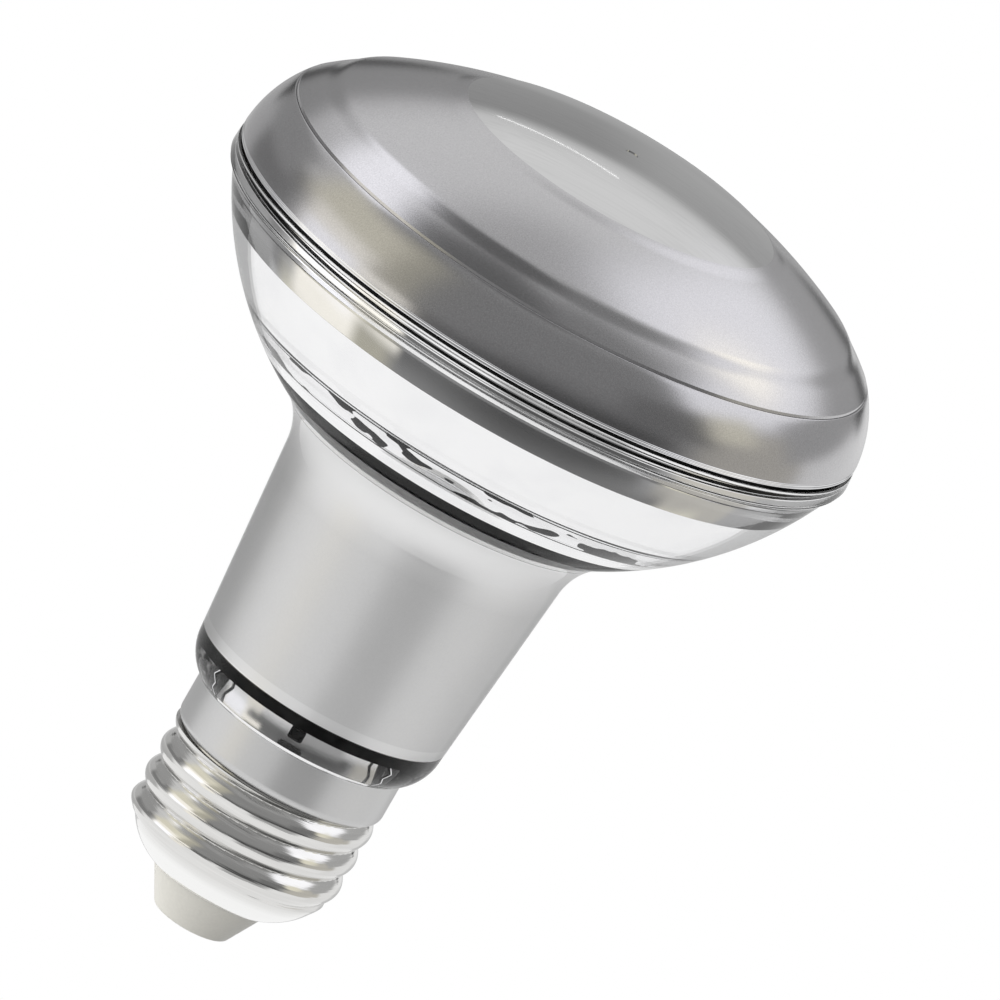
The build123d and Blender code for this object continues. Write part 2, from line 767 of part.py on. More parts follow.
# Live wire: from the contact's stem up to the front of the driver board
supply_wire_y = -board_face - supply_wire_r
z_supply_end = z_driver_board + supply_wire_rise
with BuildPart() as live_wire:
    with BuildLine() as live_path:
        FilletPolyline(
            (0, 0, z_stem_top),
            (0, 0, z_stem_top + live_bend_h),
            (live_x, supply_wire_y, z_tube),
            (live_x, supply_wire_y, z_supply_end),
            radius=wire_bend_r,
        )
    with BuildSketch(Plane(live_path.line @ 0, z_dir=live_path.line % 0)):
        Circle(supply_wire_r)
    sweep(path=live_path.line)
live_wire.part.label = "live_wire"
export_step(live_wire.part, "parts/live_wire.step")

# Neutral wire: from the shell's wall to the front of the driver board
z_neutral = z_spigot - neutral_drop
neutral_reach = sqrt((shell_bore_r - neutral_shy) ** 2 - (abs(supply_wire_y) + supply_wire_r) ** 2)
with BuildPart() as neutral_wire:
    with BuildLine() as neutral_path:
        FilletPolyline(
            (-neutral_reach, supply_wire_y, z_neutral),
            (neutral_x - supply_wire_r, supply_wire_y, z_neutral + supply_wire_r),
            (neutral_x, supply_wire_y, z_driver_board),
            (neutral_x, supply_wire_y, z_supply_end),
            radius=wire_bend_r,
        )
    with BuildSketch(Plane(neutral_path.line @ 0, z_dir=neutral_path.line % 0)):
        Circle(supply_wire_r)
    sweep(path=neutral_path.line)
neutral_wire.part.label = "neutral_wire"
export_step(neutral_wire.part, "parts/neutral_wire.step")

# Light wires: straight from the back of the driver board through the deck to the light board
z_light_wire = z_driver_board_top - light_wire_lap
light_wire_h = z_lights + light_wire_stub - z_light_wire
with BuildPart() as light_wire_positive:
    with BuildSketch(Plane.XY.offset(z_light_wire)):
        with Locations((light_wire_x, light_wire_y)):
            Circle(light_wire_r)
    extrude(amount=light_wire_h)
light_wire_positive.part.label = "light_wire_positive"
export_step(light_wire_positive.part, "parts/light_wire_positive.step")

with BuildPart() as light_wire_negative:
    with BuildSketch(Plane.XY.offset(z_light_wire)):
        with Locations((-light_wire_x, light_wire_y)):
            Circle(light_wire_r)
    extrude(amount=light_wire_h)
light_wire_negative.part.label = "light_wire_negative"
export_step(light_wire_negative.part, "parts/light_wire_negative.step")
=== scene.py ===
# %% [markdown]
# # A reflector lamp, dressed for its picture
# The lamp's pieces come packed from CAD, each at its true size and in its true place. This lesson gives
# them their looks: clear glass over a mirror, satin metal, a nickel screw shell, a polished window.
# Everything is in metres in the lamp's own frame. The tip of the end contact is the origin, +Z runs along
# the axis to the front window, and the viewer of the picture stands on the -Y side.

# %% Load the lamp
import math

import bmesh
import bpy
from mathutils import Matrix, Vector
from mathutils.geometry import interpolate_bezier


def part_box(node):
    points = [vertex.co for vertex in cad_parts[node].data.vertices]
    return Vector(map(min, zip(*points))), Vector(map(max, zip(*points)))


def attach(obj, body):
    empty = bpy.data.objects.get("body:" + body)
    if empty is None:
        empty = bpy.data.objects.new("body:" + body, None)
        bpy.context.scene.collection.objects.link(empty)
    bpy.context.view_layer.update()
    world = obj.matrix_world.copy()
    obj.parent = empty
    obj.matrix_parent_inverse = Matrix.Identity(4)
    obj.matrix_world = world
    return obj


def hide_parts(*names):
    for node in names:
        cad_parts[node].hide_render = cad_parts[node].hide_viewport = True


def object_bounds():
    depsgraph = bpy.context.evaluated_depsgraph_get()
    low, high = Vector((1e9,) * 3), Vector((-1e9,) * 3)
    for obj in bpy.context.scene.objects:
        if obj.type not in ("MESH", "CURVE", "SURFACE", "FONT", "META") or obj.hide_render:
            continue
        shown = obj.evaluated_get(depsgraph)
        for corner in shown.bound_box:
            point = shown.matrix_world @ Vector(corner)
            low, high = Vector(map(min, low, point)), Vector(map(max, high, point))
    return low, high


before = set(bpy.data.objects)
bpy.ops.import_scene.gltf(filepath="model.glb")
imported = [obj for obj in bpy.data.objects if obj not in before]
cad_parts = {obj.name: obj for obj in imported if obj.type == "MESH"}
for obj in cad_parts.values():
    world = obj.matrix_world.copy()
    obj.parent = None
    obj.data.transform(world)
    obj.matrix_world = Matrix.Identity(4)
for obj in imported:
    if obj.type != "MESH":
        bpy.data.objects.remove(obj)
cad_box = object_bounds()
MM = 0.001
lamp_height = cad_box[1].z - cad_box[0].z
print(f"{len(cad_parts)} pieces, {lamp_height / MM:.1f} mm tall")

# %% [markdown]
# ## Camera
# The lamp is seen a little from above its front, leaning to the right, with no visible perspective.
# An orthographic camera would do that, but a very long lens far away looks the same and also works when
# the camera is carried round the lamp. The lean is a roll of the camera: the lamp itself never moves.

# %% Place the camera
PICTURE_SPAN = 113.475 * MM
PICTURE_CENTRE = Vector((6.66, 0, 61.7)) * MM
LOOK_DOWN = math.radians(15.5)
ROLL = math.radians(30)
CAMERA_DISTANCE = 4.0
SIGHT_END = 40.0

view_line = Vector((0, math.cos(LOOK_DOWN), -math.sin(LOOK_DOWN)))
level_up = Vector((0, math.sin(LOOK_DOWN), math.cos(LOOK_DOWN)))
level_right = Vector((1, 0, 0))
right = level_right * math.cos(ROLL) + level_up * math.sin(ROLL)
up = level_up * math.cos(ROLL) - level_right * math.sin(ROLL)

camera = bpy.data.objects.new("camera", bpy.data.cameras.new("camera"))
camera.data.lens = camera.data.sensor_width * CAMERA_DISTANCE / PICTURE_SPAN
camera.data.clip_end = SIGHT_END
camera.matrix_world = Matrix((right, up, -view_line)).transposed().to_4x4()
camera.location = PICTURE_CENTRE - view_line * CAMERA_DISTANCE
bpy.context.scene.collection.objects.link(camera)
bpy.context.scene.camera = camera
bpy.context.scene.view_settings.view_transform = "Standard"
print(f"lens {camera.data.lens:.0f} mm at {CAMERA_DISTANCE} m")

# %% [markdown]
# ## Finishes
# No surface of the real lamp is one flat colour: blasted metal has grain, plating has clouds. An image
# wrapped round a piece could carry that, but it needs a file and a UV map. So every finish starts from one
# Principled shader with its plain values, and nodes then add what varies over the surface.

# %% Start the bare metals
def shader_of(material):
    """The Principled shader of a material."""
    return material.node_tree.nodes["Principled BSDF"]


def finish(name, colour, **values):
    """A new Principled material: a colour, and values for the sockets named in words."""
    material = bpy.data.materials.new(name)
    material.use_nodes = True
    shader = shader_of(material)
    shader.inputs["Base Color"].default_value = (*colour, 1)
    for words, value in values.items():
        socket = words.replace("_", " ").title().replace("Ior", "IOR")
        shader.inputs[socket].default_value = value
    return material


satin_silver = finish("satin_silver", (0.62, 0.614, 0.626), metallic=1.0, roughness=0.2)
contact_metal = finish("contact_metal", (0.7, 0.68, 0.64), metallic=1.0, roughness=0.35)
screw_steel = finish("screw_steel", (0.6, 0.6, 0.6), metallic=1.0, roughness=0.3)
print("started", satin_silver.name, contact_metal.name, screw_steel.name)

# %% [markdown]
# ## Grain
# The satin front glitters in tiny specks when it is seen close, and the contact and the screws are duller,
# with a coarser grain. A displaced mesh would need millions of faces for that. So a noise in object
# coordinates drives a bump, which only bends the light, and darkens the colour a little where it is high.

# %% Grain the bare metals
NOISE_DETAIL = 2
EVEN = (1, 1, 1)


def noise_of(material, size, stretch=EVEN):
    """A noise texture in object coordinates whose blots have a given size."""
    tree = material.node_tree
    place = tree.nodes.new("ShaderNodeTexCoord")
    scale = tree.nodes.new("ShaderNodeMapping")
    scale.inputs["Scale"].default_value = stretch
    noise = tree.nodes.new("ShaderNodeTexNoise")
    noise.inputs["Scale"].default_value = 1 / size
    noise.inputs["Detail"].default_value = NOISE_DETAIL
    tree.links.new(place.outputs["Object"], scale.inputs["Vector"])
    tree.links.new(scale.outputs["Vector"], noise.inputs["Vector"])
    return noise.outputs["Fac"]


def blend_colour(material, share, other):
    """Mix another colour into a finish by a share that varies over the surface."""
    tree = material.node_tree
    base = shader_of(material).inputs["Base Color"]
    mix = tree.nodes.new("ShaderNodeMix")
    mix.data_type = "RGBA"
    mix.inputs["A"].default_value = base.default_value[:]
    mix.inputs["B"].default_value = (*other, 1)
    if base.is_linked:
        tree.links.new(base.links[0].from_socket, mix.inputs["A"])
    tree.links.new(share, mix.inputs["Factor"])
    tree.links.new(mix.outputs["Result"], base)


def grain(material, size, height, tint, stretch=EVEN):
    """Fine grain: bumps of a given size and height, and a share of darker colour where the noise is high."""
    tree = material.node_tree
    shader = shader_of(material)
    noise = noise_of(material, size, stretch)
    bump = tree.nodes.new("ShaderNodeBump")
    bump.inputs["Distance"].default_value = height
    tree.links.new(noise, bump.inputs["Height"])
    tree.links.new(bump.outputs["Normal"], shader.inputs["Normal"])
    colour = shader.inputs["Base Color"].default_value[:3]
    blend_colour(material, noise, [c * (1 - tint) for c in colour])
    return material


grain(satin_silver, size=0.17 * MM, height=0.003 * MM, tint=0.32)
grain(contact_metal, size=0.5 * MM, height=0.02 * MM, tint=0.2)
grain(screw_steel, size=0.3 * MM, height=0.004 * MM, tint=0.15)
print(f"{len(satin_silver.node_tree.nodes)} nodes in a grained metal")

# %% [markdown]
# ## Metals that change with height
# The sleeve in the neck is satin aluminium, with a painted highlight that makes it whiter where it flares out
# under the bowl, and it is whiter along its hem.
# The housing's collar is satin too, but the latch tabs above it are polished. The screw shell is drawn
# nickel, streaked round its axis, with a painted highlight that makes its foot brighter. Cutting the meshes
# would leave hard borders, so a ramp over the height of each point mixes in the other colour or the other
# roughness.

# %% Grade the metals by height
UNIT = (0.0, 1.0)


def ramp(tree, socket, span, levels=UNIT):
    """A socket that runs between two levels while another runs over a span, and stays level beyond it."""
    change = tree.nodes.new("ShaderNodeMapRange")
    change.inputs["From Min"].default_value = span[0]
    change.inputs["From Max"].default_value = span[1]
    change.inputs["To Min"].default_value = levels[0]
    change.inputs["To Max"].default_value = levels[1]
    tree.links.new(socket, change.inputs["Value"])
    return change.outputs["Result"]


def height_share(material, span):
    """A socket that climbs from 0 to 1 from the first height of a span to the second."""
    tree = material.node_tree
    place = tree.nodes.new("ShaderNodeNewGeometry")
    parts = tree.nodes.new("ShaderNodeSeparateXYZ")
    tree.links.new(place.outputs["Position"], parts.inputs["Vector"])
    return ramp(tree, parts.outputs["Z"], span)


def blend_roughness(material, share, other):
    """Mix another roughness into a finish by a share that varies over the surface."""
    tree = material.node_tree
    rough = shader_of(material).inputs["Roughness"]
    tree.links.new(ramp(tree, share, UNIT, (rough.default_value, other)), rough)


FLARE_SPAN = (53 * MM, 60 * MM)
FLARE_HIGHLIGHT_WHITE = (1.0, 1.0, 1.0)
HEM_SPAN = (33.6 * MM, 33.5 * MM)
HEM_GREY = (0.83, 0.83, 0.83)
satin_aluminium = finish("satin_aluminium", (0.76, 0.76, 0.76), metallic=0.95, roughness=0.3)
grain(satin_aluminium, size=0.3 * MM, height=0.003 * MM, tint=0.06)
# Painted highlight: the flare is mixed whiter by height, where it curves out and catches the light.
blend_colour(satin_aluminium, height_share(satin_aluminium, FLARE_SPAN), FLARE_HIGHLIGHT_WHITE)
blend_colour(satin_aluminium, height_share(satin_aluminium, HEM_SPAN), HEM_GREY)

TAB_SPAN = (26.9 * MM, 27.1 * MM)
TAB_ROUGHNESS = 0.1
housing_silver = finish("housing_silver", (0.63, 0.63, 0.63), metallic=0.95, roughness=0.32)
grain(housing_silver, size=0.3 * MM, height=0.002 * MM, tint=0.06)
blend_roughness(housing_silver, height_share(housing_silver, TAB_SPAN), TAB_ROUGHNESS)

DRAWN_ROUND = (0.05, 0.05, 1)
SHELL_FOOT_SPAN = (9.6 * MM, 8.0 * MM)
FOOT_HIGHLIGHT = (0.95, 0.95, 0.94)
nickel = finish("nickel", (0.84, 0.835, 0.82), metallic=1.0, roughness=0.12)
grain(nickel, size=0.4 * MM, height=0.03 * MM, tint=0.2, stretch=DRAWN_ROUND)
# Painted highlight: the shell's foot is mixed brighter by height.
blend_colour(nickel, height_share(nickel, SHELL_FOOT_SPAN), FOOT_HIGHLIGHT)
print("graded", satin_aluminium.name, housing_silver.name, nickel.name)

# %% [markdown]
# ## Mirror finishes
# The reflector in the bowl is bright plating, clouded here and there. Its upright strip under the rim is a
# darker copy of the plating, as painted shade; one of its facets has dark patches of painted reflection, and
# its foot is nearly black. Separate pieces would have seams, so each is a finish that the faces of one mesh
# can pick. The dark patches are a noise cut off at a level.

# %% Make the mirror finishes
LONG_PATCHES = (1, 1, 3)


def patches(material, size, span, other, stretch=EVEN):
    """Patches of another colour where the noise lies above a span, which is as wide as their edge is soft."""
    share = ramp(material.node_tree, noise_of(material, size, stretch), span)
    blend_colour(material, share, other)


mirror = finish("mirror", (0.94, 0.94, 0.945), metallic=1.0, roughness=0.02)
patches(mirror, size=6 * MM, span=(0.45, 0.75), other=(0.9, 0.9, 0.91))
# Painted shade: the upright strip is a darker copy of the mirror.
shaded_strip_mirror = finish("shaded_strip_mirror", (0.74, 0.74, 0.745), metallic=1.0, roughness=0.03)
patches(shaded_strip_mirror, size=6 * MM, span=(0.45, 0.75), other=(0.7, 0.7, 0.705))
# Painted reflection: near-black patches on this chrome stand in for light that the glass reflects back inside
# itself.
chrome_painted_reflection = finish("chrome_painted_reflection", (0.9, 0.9, 0.91), metallic=1.0, roughness=0.03)
patches(chrome_painted_reflection, size=7 * MM, span=(0.535, 0.54), other=(0.008, 0.008, 0.009), stretch=LONG_PATCHES)
dark_foot = finish("dark_foot", (0.03, 0.03, 0.03), roughness=0.3, specular_ior_level=0.0)
patches(dark_foot, size=8 * MM, span=(0.45, 0.75), other=(0.09, 0.09, 0.09), stretch=LONG_PATCHES)
polished_edge = finish("polished_edge", (0.86, 0.86, 0.87), metallic=1.0, roughness=0.06)
patches(polished_edge, size=3 * MM, span=(0.4, 0.7), other=(0.78, 0.78, 0.8))
print("made", mirror.name, shaded_strip_mirror.name, chrome_painted_reflection.name, dark_foot.name, polished_edge.name)

# %% [markdown]
# ## Glass and window
# The body is clear and polished. True glass of index 1.5 bends the light as the real body does, and a low
# specular tint keeps its own shine from veiling the mirror. Over the mirror's black foot even that shine
# would look grey, so the glass there is calm, with hardly any index. The window in the front looks like
# finely brushed grey metal, so its noise is drawn out along one direction.

# %% Make the glass and the window
DIM_SHINE = (0.15, 0.15, 0.15, 1)
GLASS_CLOUD = (0.985, 0.985, 0.985)
BRUSHED_ALONG = (0.04, 1, 1)
clear_glass = finish("clear_glass", (1, 1, 1), transmission_weight=1.0, roughness=0.0, ior=1.5)
shader_of(clear_glass).inputs["Specular Tint"].default_value = DIM_SHINE
calm_glass = finish("calm_glass", (1, 1, 1), transmission_weight=1.0, roughness=0.0, ior=1.05)
for glass in (clear_glass, calm_glass):
    patches(glass, size=20 * MM, span=(0.3, 0.7), other=GLASS_CLOUD)
window_grey = finish("window_grey", (0.62, 0.62, 0.62), metallic=1.0, roughness=0.05)
patches(window_grey, size=0.5 * MM, span=(0.45, 0.8), other=(0.57, 0.57, 0.57), stretch=BRUSHED_ALONG)
print("made", clear_glass.name, calm_glass.name, window_grey.name)

# %% [markdown]
# ## Plastics and the driver's parts
# The insulator is cream plastic, the tube, the seal and the painted shade in the mouth are matt black, and
# the driver inside has the
# usual colours of its trade: a green board, a red film capacitor, yellow tape. The paints differ only in
# colour and roughness, so one loop makes them all from a table, with the same faint grain. The black has
# no shine, because it lies against glass, and two strips of the painted shade carry pale painted glints.

# %% Mix the paints
PAINTS = {
    "insulator_cream": ((0.66, 0.645, 0.59), 0.4, ["cap_insulator"]),
    "board_white": ((0.8, 0.8, 0.78), 0.45, ["light_board"]),
    "light_yellow": ((0.85, 0.68, 0.12), 0.5, ["light_packages"]),
    "board_green": ((0.03, 0.19, 0.07), 0.4, ["driver_board"]),
    "capacitor_black": ((0.02, 0.02, 0.025), 0.35, ["bulk_capacitor"]),
    "film_red": ((0.5, 0.05, 0.04), 0.3, ["film_capacitor"]),
    "ferrite_grey": ((0.1, 0.1, 0.105), 0.6, ["filter_choke"]),
    "tape_yellow": ((0.78, 0.58, 0.08), 0.4, ["transformer"]),
    "chip_black": ((0.025, 0.025, 0.025), 0.5, ["bridge_rectifier", "driver_chip"]),
    "resistor_blue": ((0.15, 0.35, 0.55), 0.35, ["fuse_resistor"]),
    "wire_red": ((0.55, 0.03, 0.03), 0.4, ["live_wire", "light_wire_positive"]),
    "wire_black": ((0.02, 0.02, 0.02), 0.4, ["neutral_wire", "light_wire_negative"]),
}
finish_of = {}
for name, (colour, roughness, nodes) in PAINTS.items():
    paint = finish(name, colour, roughness=roughness)
    grain(paint, size=0.4 * MM, height=0.004 * MM, tint=0.12)
    finish_of.update({node: paint for node in nodes})

# The same matt black is the real colour of the tube and the seal, and is painted shade in the mouth; its
# streaked copy adds pale painted glints to that shade.
MATT_BLACK = (0.008, 0.008, 0.008)
STREAKED_ROUND = (1, 0.35, 1)
black_and_painted_shade = finish("black_and_painted_shade", MATT_BLACK, roughness=0.4, specular_ior_level=0.0)
patches(black_and_painted_shade, size=2 * MM, span=(0.5, 0.7), other=(0.02, 0.02, 0.02))
painted_shade_glints = finish("painted_shade_glints", MATT_BLACK, roughness=0.4, specular_ior_level=0.0)
patches(painted_shade_glints, size=1.6 * MM, span=(0.55, 0.7), other=(0.3, 0.3, 0.3), stretch=STREAKED_ROUND)
print(f"{len(PAINTS)} paints and 2 linings")

# %% [markdown]
# ## Dress the CAD pieces
# Most pieces keep their CAD mesh and only need a finish, which takes the place of the plain colour that
# they came with. The mirror, the glass, the front and the screw shell are made anew below, so they are
# left out here.

# %% Hand out the finishes
finish_of.update(
    centre_contact=contact_metal,
    driver_housing=housing_silver,
    insulating_tube=black_and_painted_shade,
    neck_sleeve=satin_aluminium,
    beam_reflector=mirror,
    rim_seal=black_and_painted_shade,
    centre_lens=window_grey,
    board_screws=screw_steel,
)
for node, material in finish_of.items():
    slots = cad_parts[node].data.materials
    slots.clear()
    slots.append(material)
print(f"{len(finish_of)} CAD pieces dressed")

# %% [markdown]
# ## Turned pieces
# The glass, the mirror and the front are all round, so each is a half outline spun about the axis.
# A screw modifier would spin it too, but making the rings by hand keeps the mesh closed and lets a corner
# of the outline stay sharp while everything else is shaded smooth.

# %% Set up the lathe
TURNS = 256
SHARP_EDGE = math.radians(28)


def mesh_piece(name, corners, faces, materials):
    """A closed mesh piece, smooth but for its sharp edges."""
    mesh = bpy.data.meshes.new(name)
    mesh.from_pydata(corners, [], faces)
    work = bmesh.new()
    work.from_mesh(mesh)
    bmesh.ops.recalc_face_normals(work, faces=work.faces)
    work.to_mesh(mesh)
    work.free()
    mesh.polygons.foreach_set("use_smooth", [True] * len(mesh.polygons))
    mesh.set_sharp_from_angle(angle=SHARP_EDGE)
    for material in materials:
        mesh.materials.append(material)
    piece = bpy.data.objects.new(name, mesh)
    bpy.context.scene.collection.objects.link(piece)
    return piece


def lathe(name, outline, materials, finish_at=None):
    """Spin a closed outline of (radius, height) points, a list or a function of the turn, into a piece."""
    corners = []
    for i in range(TURNS):
        a = 2 * math.pi * i / TURNS
        ring = outline(a) if callable(outline) else outline
        corners += [(r * math.cos(a), r * math.sin(a), z) for r, z in ring]
    n = len(ring)
    faces = []
    for i in range(TURNS):
        here = i * n
        there = (i + 1) % TURNS * n
        faces += [(here + k, there + k, there + (k + 1) % n, here + (k + 1) % n) for k in range(n)]
    piece = mesh_piece(name, corners, faces, materials)
    if finish_at:
        kinds = [finish_at(face.center) for face in piece.data.polygons]
        piece.data.polygons.foreach_set("material_index", kinds)
    return piece


def add_trim(piece):
    """Let a new piece ride with the lamp, and print how many faces it has."""
    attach(piece, "root")
    print(f"{piece.name}: {len(piece.data.polygons)} faces")


def settle(piece, node):
    """Let a new piece stand for a CAD node, and add it to the lamp."""
    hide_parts(node)
    add_trim(piece)


def spread(start, end, steps):
    """Evenly spaced values from start to end, both included."""
    return [start + (end - start) * k / steps for k in range(steps + 1)]


def arc(centre, radius, start, end, steps):
    """Points on an arc of a half outline: centre (radius, height), angles in degrees up from straight out."""
    turns = [math.radians(angle) for angle in spread(start, end, steps)]
    return [(centre[0] + radius * math.cos(a), centre[1] + radius * math.sin(a)) for a in turns]


print(f"a full turn takes {TURNS} steps of {360 / TURNS:.2f} degrees")

# %% [markdown]
# ## Shape of the glass body
# One clear moulding makes the mouth, the tapered neck, the round bowl and the rim. Between the mouth and
# the rim its outside is a line, a hollow fillet and a ball. A drawn curve could follow that, but then the
# metal behind the glass could not. So the radius at any height is a short formula that also takes an inset,
# and every piece that lies inside the glass is measured by it.

# %% Work out the body's radius
mouth_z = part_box("outer_body")[0].z
rim_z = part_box("outer_body")[1].z
LIP_H = 4.35 * MM
NECK_Z = mouth_z + LIP_H
NECK_R = 15.63 * MM
NECK_TAPER = 0.088
NECK_FILLET = 9 * MM
RIM_H = 3.4 * MM
RIM_FOOT_Z = rim_z - RIM_H
RIM_FOOT_R = 38.85 * MM
BOWL_RISE = 17.53 * MM
BOWL_CENTRE_Z = RIM_FOOT_Z + BOWL_RISE
BOWL_R = math.hypot(RIM_FOOT_R, BOWL_RISE)


def neck_radius(z, inset):
    """Radius of the tapered neck at a height, set in from the outside."""
    return NECK_R + NECK_TAPER * (z - NECK_Z) - inset


def ball_radius(z, inset):
    """Radius of the bowl's ball at a height, set in from the outside."""
    return math.sqrt((BOWL_R - inset) ** 2 - (z - BOWL_CENTRE_Z) ** 2)


def fillet_centre(inset):
    """Centre and radius of the hollow fillet between the neck and the bowl."""
    radius = NECK_FILLET + inset
    reach = BOWL_R - inset + radius
    base = neck_radius(0, inset) + radius * math.hypot(1, NECK_TAPER)
    a = 1 + NECK_TAPER**2
    b = 2 * (base * NECK_TAPER - BOWL_CENTRE_Z)
    c = base**2 + BOWL_CENTRE_Z**2 - reach**2
    z = (-b - math.sqrt(b**2 - 4 * a * c)) / (2 * a)
    return base + NECK_TAPER * z, z, radius


def body_radius(z, inset):
    """Radius at a height of the neck, the fillet or the bowl, set in from the outside."""
    centre_r, centre_z, radius = fillet_centre(inset)
    low = centre_z + radius * NECK_TAPER / math.hypot(1, NECK_TAPER)
    ball = BOWL_R - inset
    high = BOWL_CENTRE_Z + (centre_z - BOWL_CENTRE_Z) * ball / (ball + radius)
    if z < low:
        return neck_radius(z, inset)
    if z < high:
        return centre_r - math.sqrt(radius**2 - (z - centre_z) ** 2)
    return ball_radius(z, inset)


def body_wall(z_low, z_high, inset, steps):
    """Outline points of the body between two heights, going up."""
    return [(body_radius(z, inset), z) for z in spread(z_low, z_high, steps)]


print(f"bowl radius {BOWL_R / MM:.2f} mm, fillet centre {[round(v / MM, 2) for v in fillet_centre(0)]}")

# %% [markdown]
# ## Mirror
# Behind the bowl stands the mirror: four facets parted by fine ridges, an upright flange above them and a
# lip under the front. The facets could be straight cones, but on the lamp they follow the glass, so each is
# an arc parallel to the bowl's ball. A mirror shows every dent of its mesh, so its rings are fine.

# %% Outline the mirror
REFLECTOR_INSET = 1.55 * MM
REFLECTOR_STEP = 0.4 * MM
REFLECTOR_WALL = 1.0 * MM
LIP_T = 0.8 * MM
FLANGE_DROP = 6.5 * MM
FLANGE_LEAN = 0.4 * MM
FACET_RISES = (2.2 * MM, 4.8 * MM, 7.2 * MM)
RIDGE_H = 0.35 * MM
FACET_STEPS = 24
mirror_foot_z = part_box("bowl_reflector")[0].z
lip_edge_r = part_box("bowl_reflector")[1].x
lip_z = rim_z - LIP_T
flange_z = rim_z - FLANGE_DROP
facet_z = [mirror_foot_z] + [mirror_foot_z + rise for rise in FACET_RISES] + [flange_z]

facets = []
for low, high in zip(facet_z, facet_z[1:]):
    ridge_foot = (ball_radius(low, REFLECTOR_INSET) - REFLECTOR_STEP, low)
    heights = spread(low + RIDGE_H, high, FACET_STEPS)
    facets.append([ridge_foot] + [(ball_radius(z, REFLECTOR_INSET), z) for z in heights])
flange_r = facets[-1][-1][0] - REFLECTOR_STEP
flange_foot_r = flange_r - FLANGE_LEAN

mirror_front = [point for facet in facets for point in facet]
mirror_front += [(flange_foot_r, flange_z), (flange_r, lip_z), (lip_edge_r, lip_z)]
mirror_back = [(lip_edge_r, rim_z), (flange_r - REFLECTOR_WALL, rim_z)]
mirror_back += [(flange_foot_r - REFLECTOR_WALL, flange_z)]
mirror_back += [(facet[0][0] - REFLECTOR_WALL, facet[0][1]) for facet in reversed(facets)]
print(f"{len(facets)} facets up to {flange_z / MM:.1f} mm, flange radius {flange_r / MM:.2f} mm")

# %% Spin the mirror
MIRROR, SHADED_STRIP, PAINTED_REFLECTION, DARK = range(4)
FACET_FINISHES = (DARK, MIRROR, PAINTED_REFLECTION, MIRROR)
BACK_DEPTH = 0.6 * MM
HAIR = 0.01 * MM


def mirror_finish(middle):
    """The finish of a ring of the mirror: by facet on the outside, plain mirror elsewhere."""
    r = middle.to_2d().length
    if flange_z < middle.z < lip_z and r > flange_foot_r:
        return SHADED_STRIP
    if middle.z > flange_z or r < ball_radius(middle.z, REFLECTOR_INSET) - BACK_DEPTH:
        return MIRROR
    return next(kind for kind, top in zip(FACET_FINISHES, facet_z[1:]) if middle.z < top + HAIR)


mirror_kinds = [mirror, shaded_strip_mirror, chrome_painted_reflection, dark_foot]
bowl_mirror = lathe("bowl_mirror", mirror_front + mirror_back, mirror_kinds, mirror_finish)
settle(bowl_mirror, "bowl_reflector")

# %% [markdown]
# ## Glass
# On the real lamp the metal lies against the glass, and that contact makes the metal seem to fill the glass
# to its very edge. With a film of air between them, the glass would reflect all the light at its inside and
# hide what is behind it. So the inside of the glass is sunk a hair into the sleeve and the mirror. The
# outside ends in the rim: a ledge, a fine groove and a crest, each corner rounded by an arc.

# %% Draw the outside of the glass
LIP_R = 13.3 * MM
LIP_BULGE = 0.56 * MM
LIP_STEPS = 16
WALL_STEPS = 120
FOOT_GAP = 0.4 * MM


def bulged(start, end, bulge, steps):
    """Arc from one outline point to another that stands out to the right of the way by a given bulge."""
    (r0, z0), (r1, z1) = start, end
    length = math.hypot(r1 - r0, z1 - z0)
    radius = (length**2 / 4 + bulge**2) / (2 * bulge)
    right_r = (z1 - z0) / length
    right_z = (r0 - r1) / length
    centre = ((r0 + r1) / 2 - (radius - bulge) * right_r, (z0 + z1) / 2 - (radius - bulge) * right_z)
    first = math.degrees(math.atan2(z0 - centre[1], r0 - centre[0]))
    last = math.degrees(math.atan2(z1 - centre[1], r1 - centre[0]))
    return arc(centre, radius, first, last, steps)


def rounded(start, corner, end, radius, steps):
    """Arc that rounds the corner of an outline between two straight runs."""
    corner = Vector(corner)
    back = (Vector(start) - corner).normalized()
    ahead = (Vector(end) - corner).normalized()
    half = back.angle(ahead) / 2
    centre = corner + (back + ahead).normalized() * radius / math.sin(half)
    touch = [corner + way * radius / math.tan(half) - centre for way in (back, ahead)]
    first, last = [math.degrees(math.atan2(t.y, t.x)) for t in touch]
    return arc(centre, radius, first, last, steps)


below_foot = (body_radius(RIM_FOOT_Z - FOOT_GAP, 0), RIM_FOOT_Z - FOOT_GAP)
rim_foot = (RIM_FOOT_R, RIM_FOOT_Z)
ledge = (39.56 * MM, RIM_FOOT_Z + 1.05 * MM)
groove = (39.42 * MM, RIM_FOOT_Z + 1.3 * MM)
crest = (40.0 * MM, RIM_FOOT_Z + 1.65 * MM)
top_corner = (39.87 * MM, rim_z)
rim_line = [below_foot, rim_foot, ledge, groove, crest, top_corner, (lip_edge_r, rim_z)]
rim_rounds = [0.3 * MM, 0.15 * MM, 0.15 * MM, 0.15 * MM, 0.35 * MM]
rim_steps = [4, 5, 4, 6, 8]

outside = bulged((LIP_R, mouth_z), (NECK_R, NECK_Z), LIP_BULGE, LIP_STEPS)
outside += body_wall(NECK_Z, below_foot[1], 0, WALL_STEPS)[1:]
for *corner, radius, steps in zip(rim_line, rim_line[1:], rim_line[2:], rim_rounds, rim_steps):
    outside += rounded(*corner, radius, steps)
print(f"{len(outside)} points from the mouth to the rim")

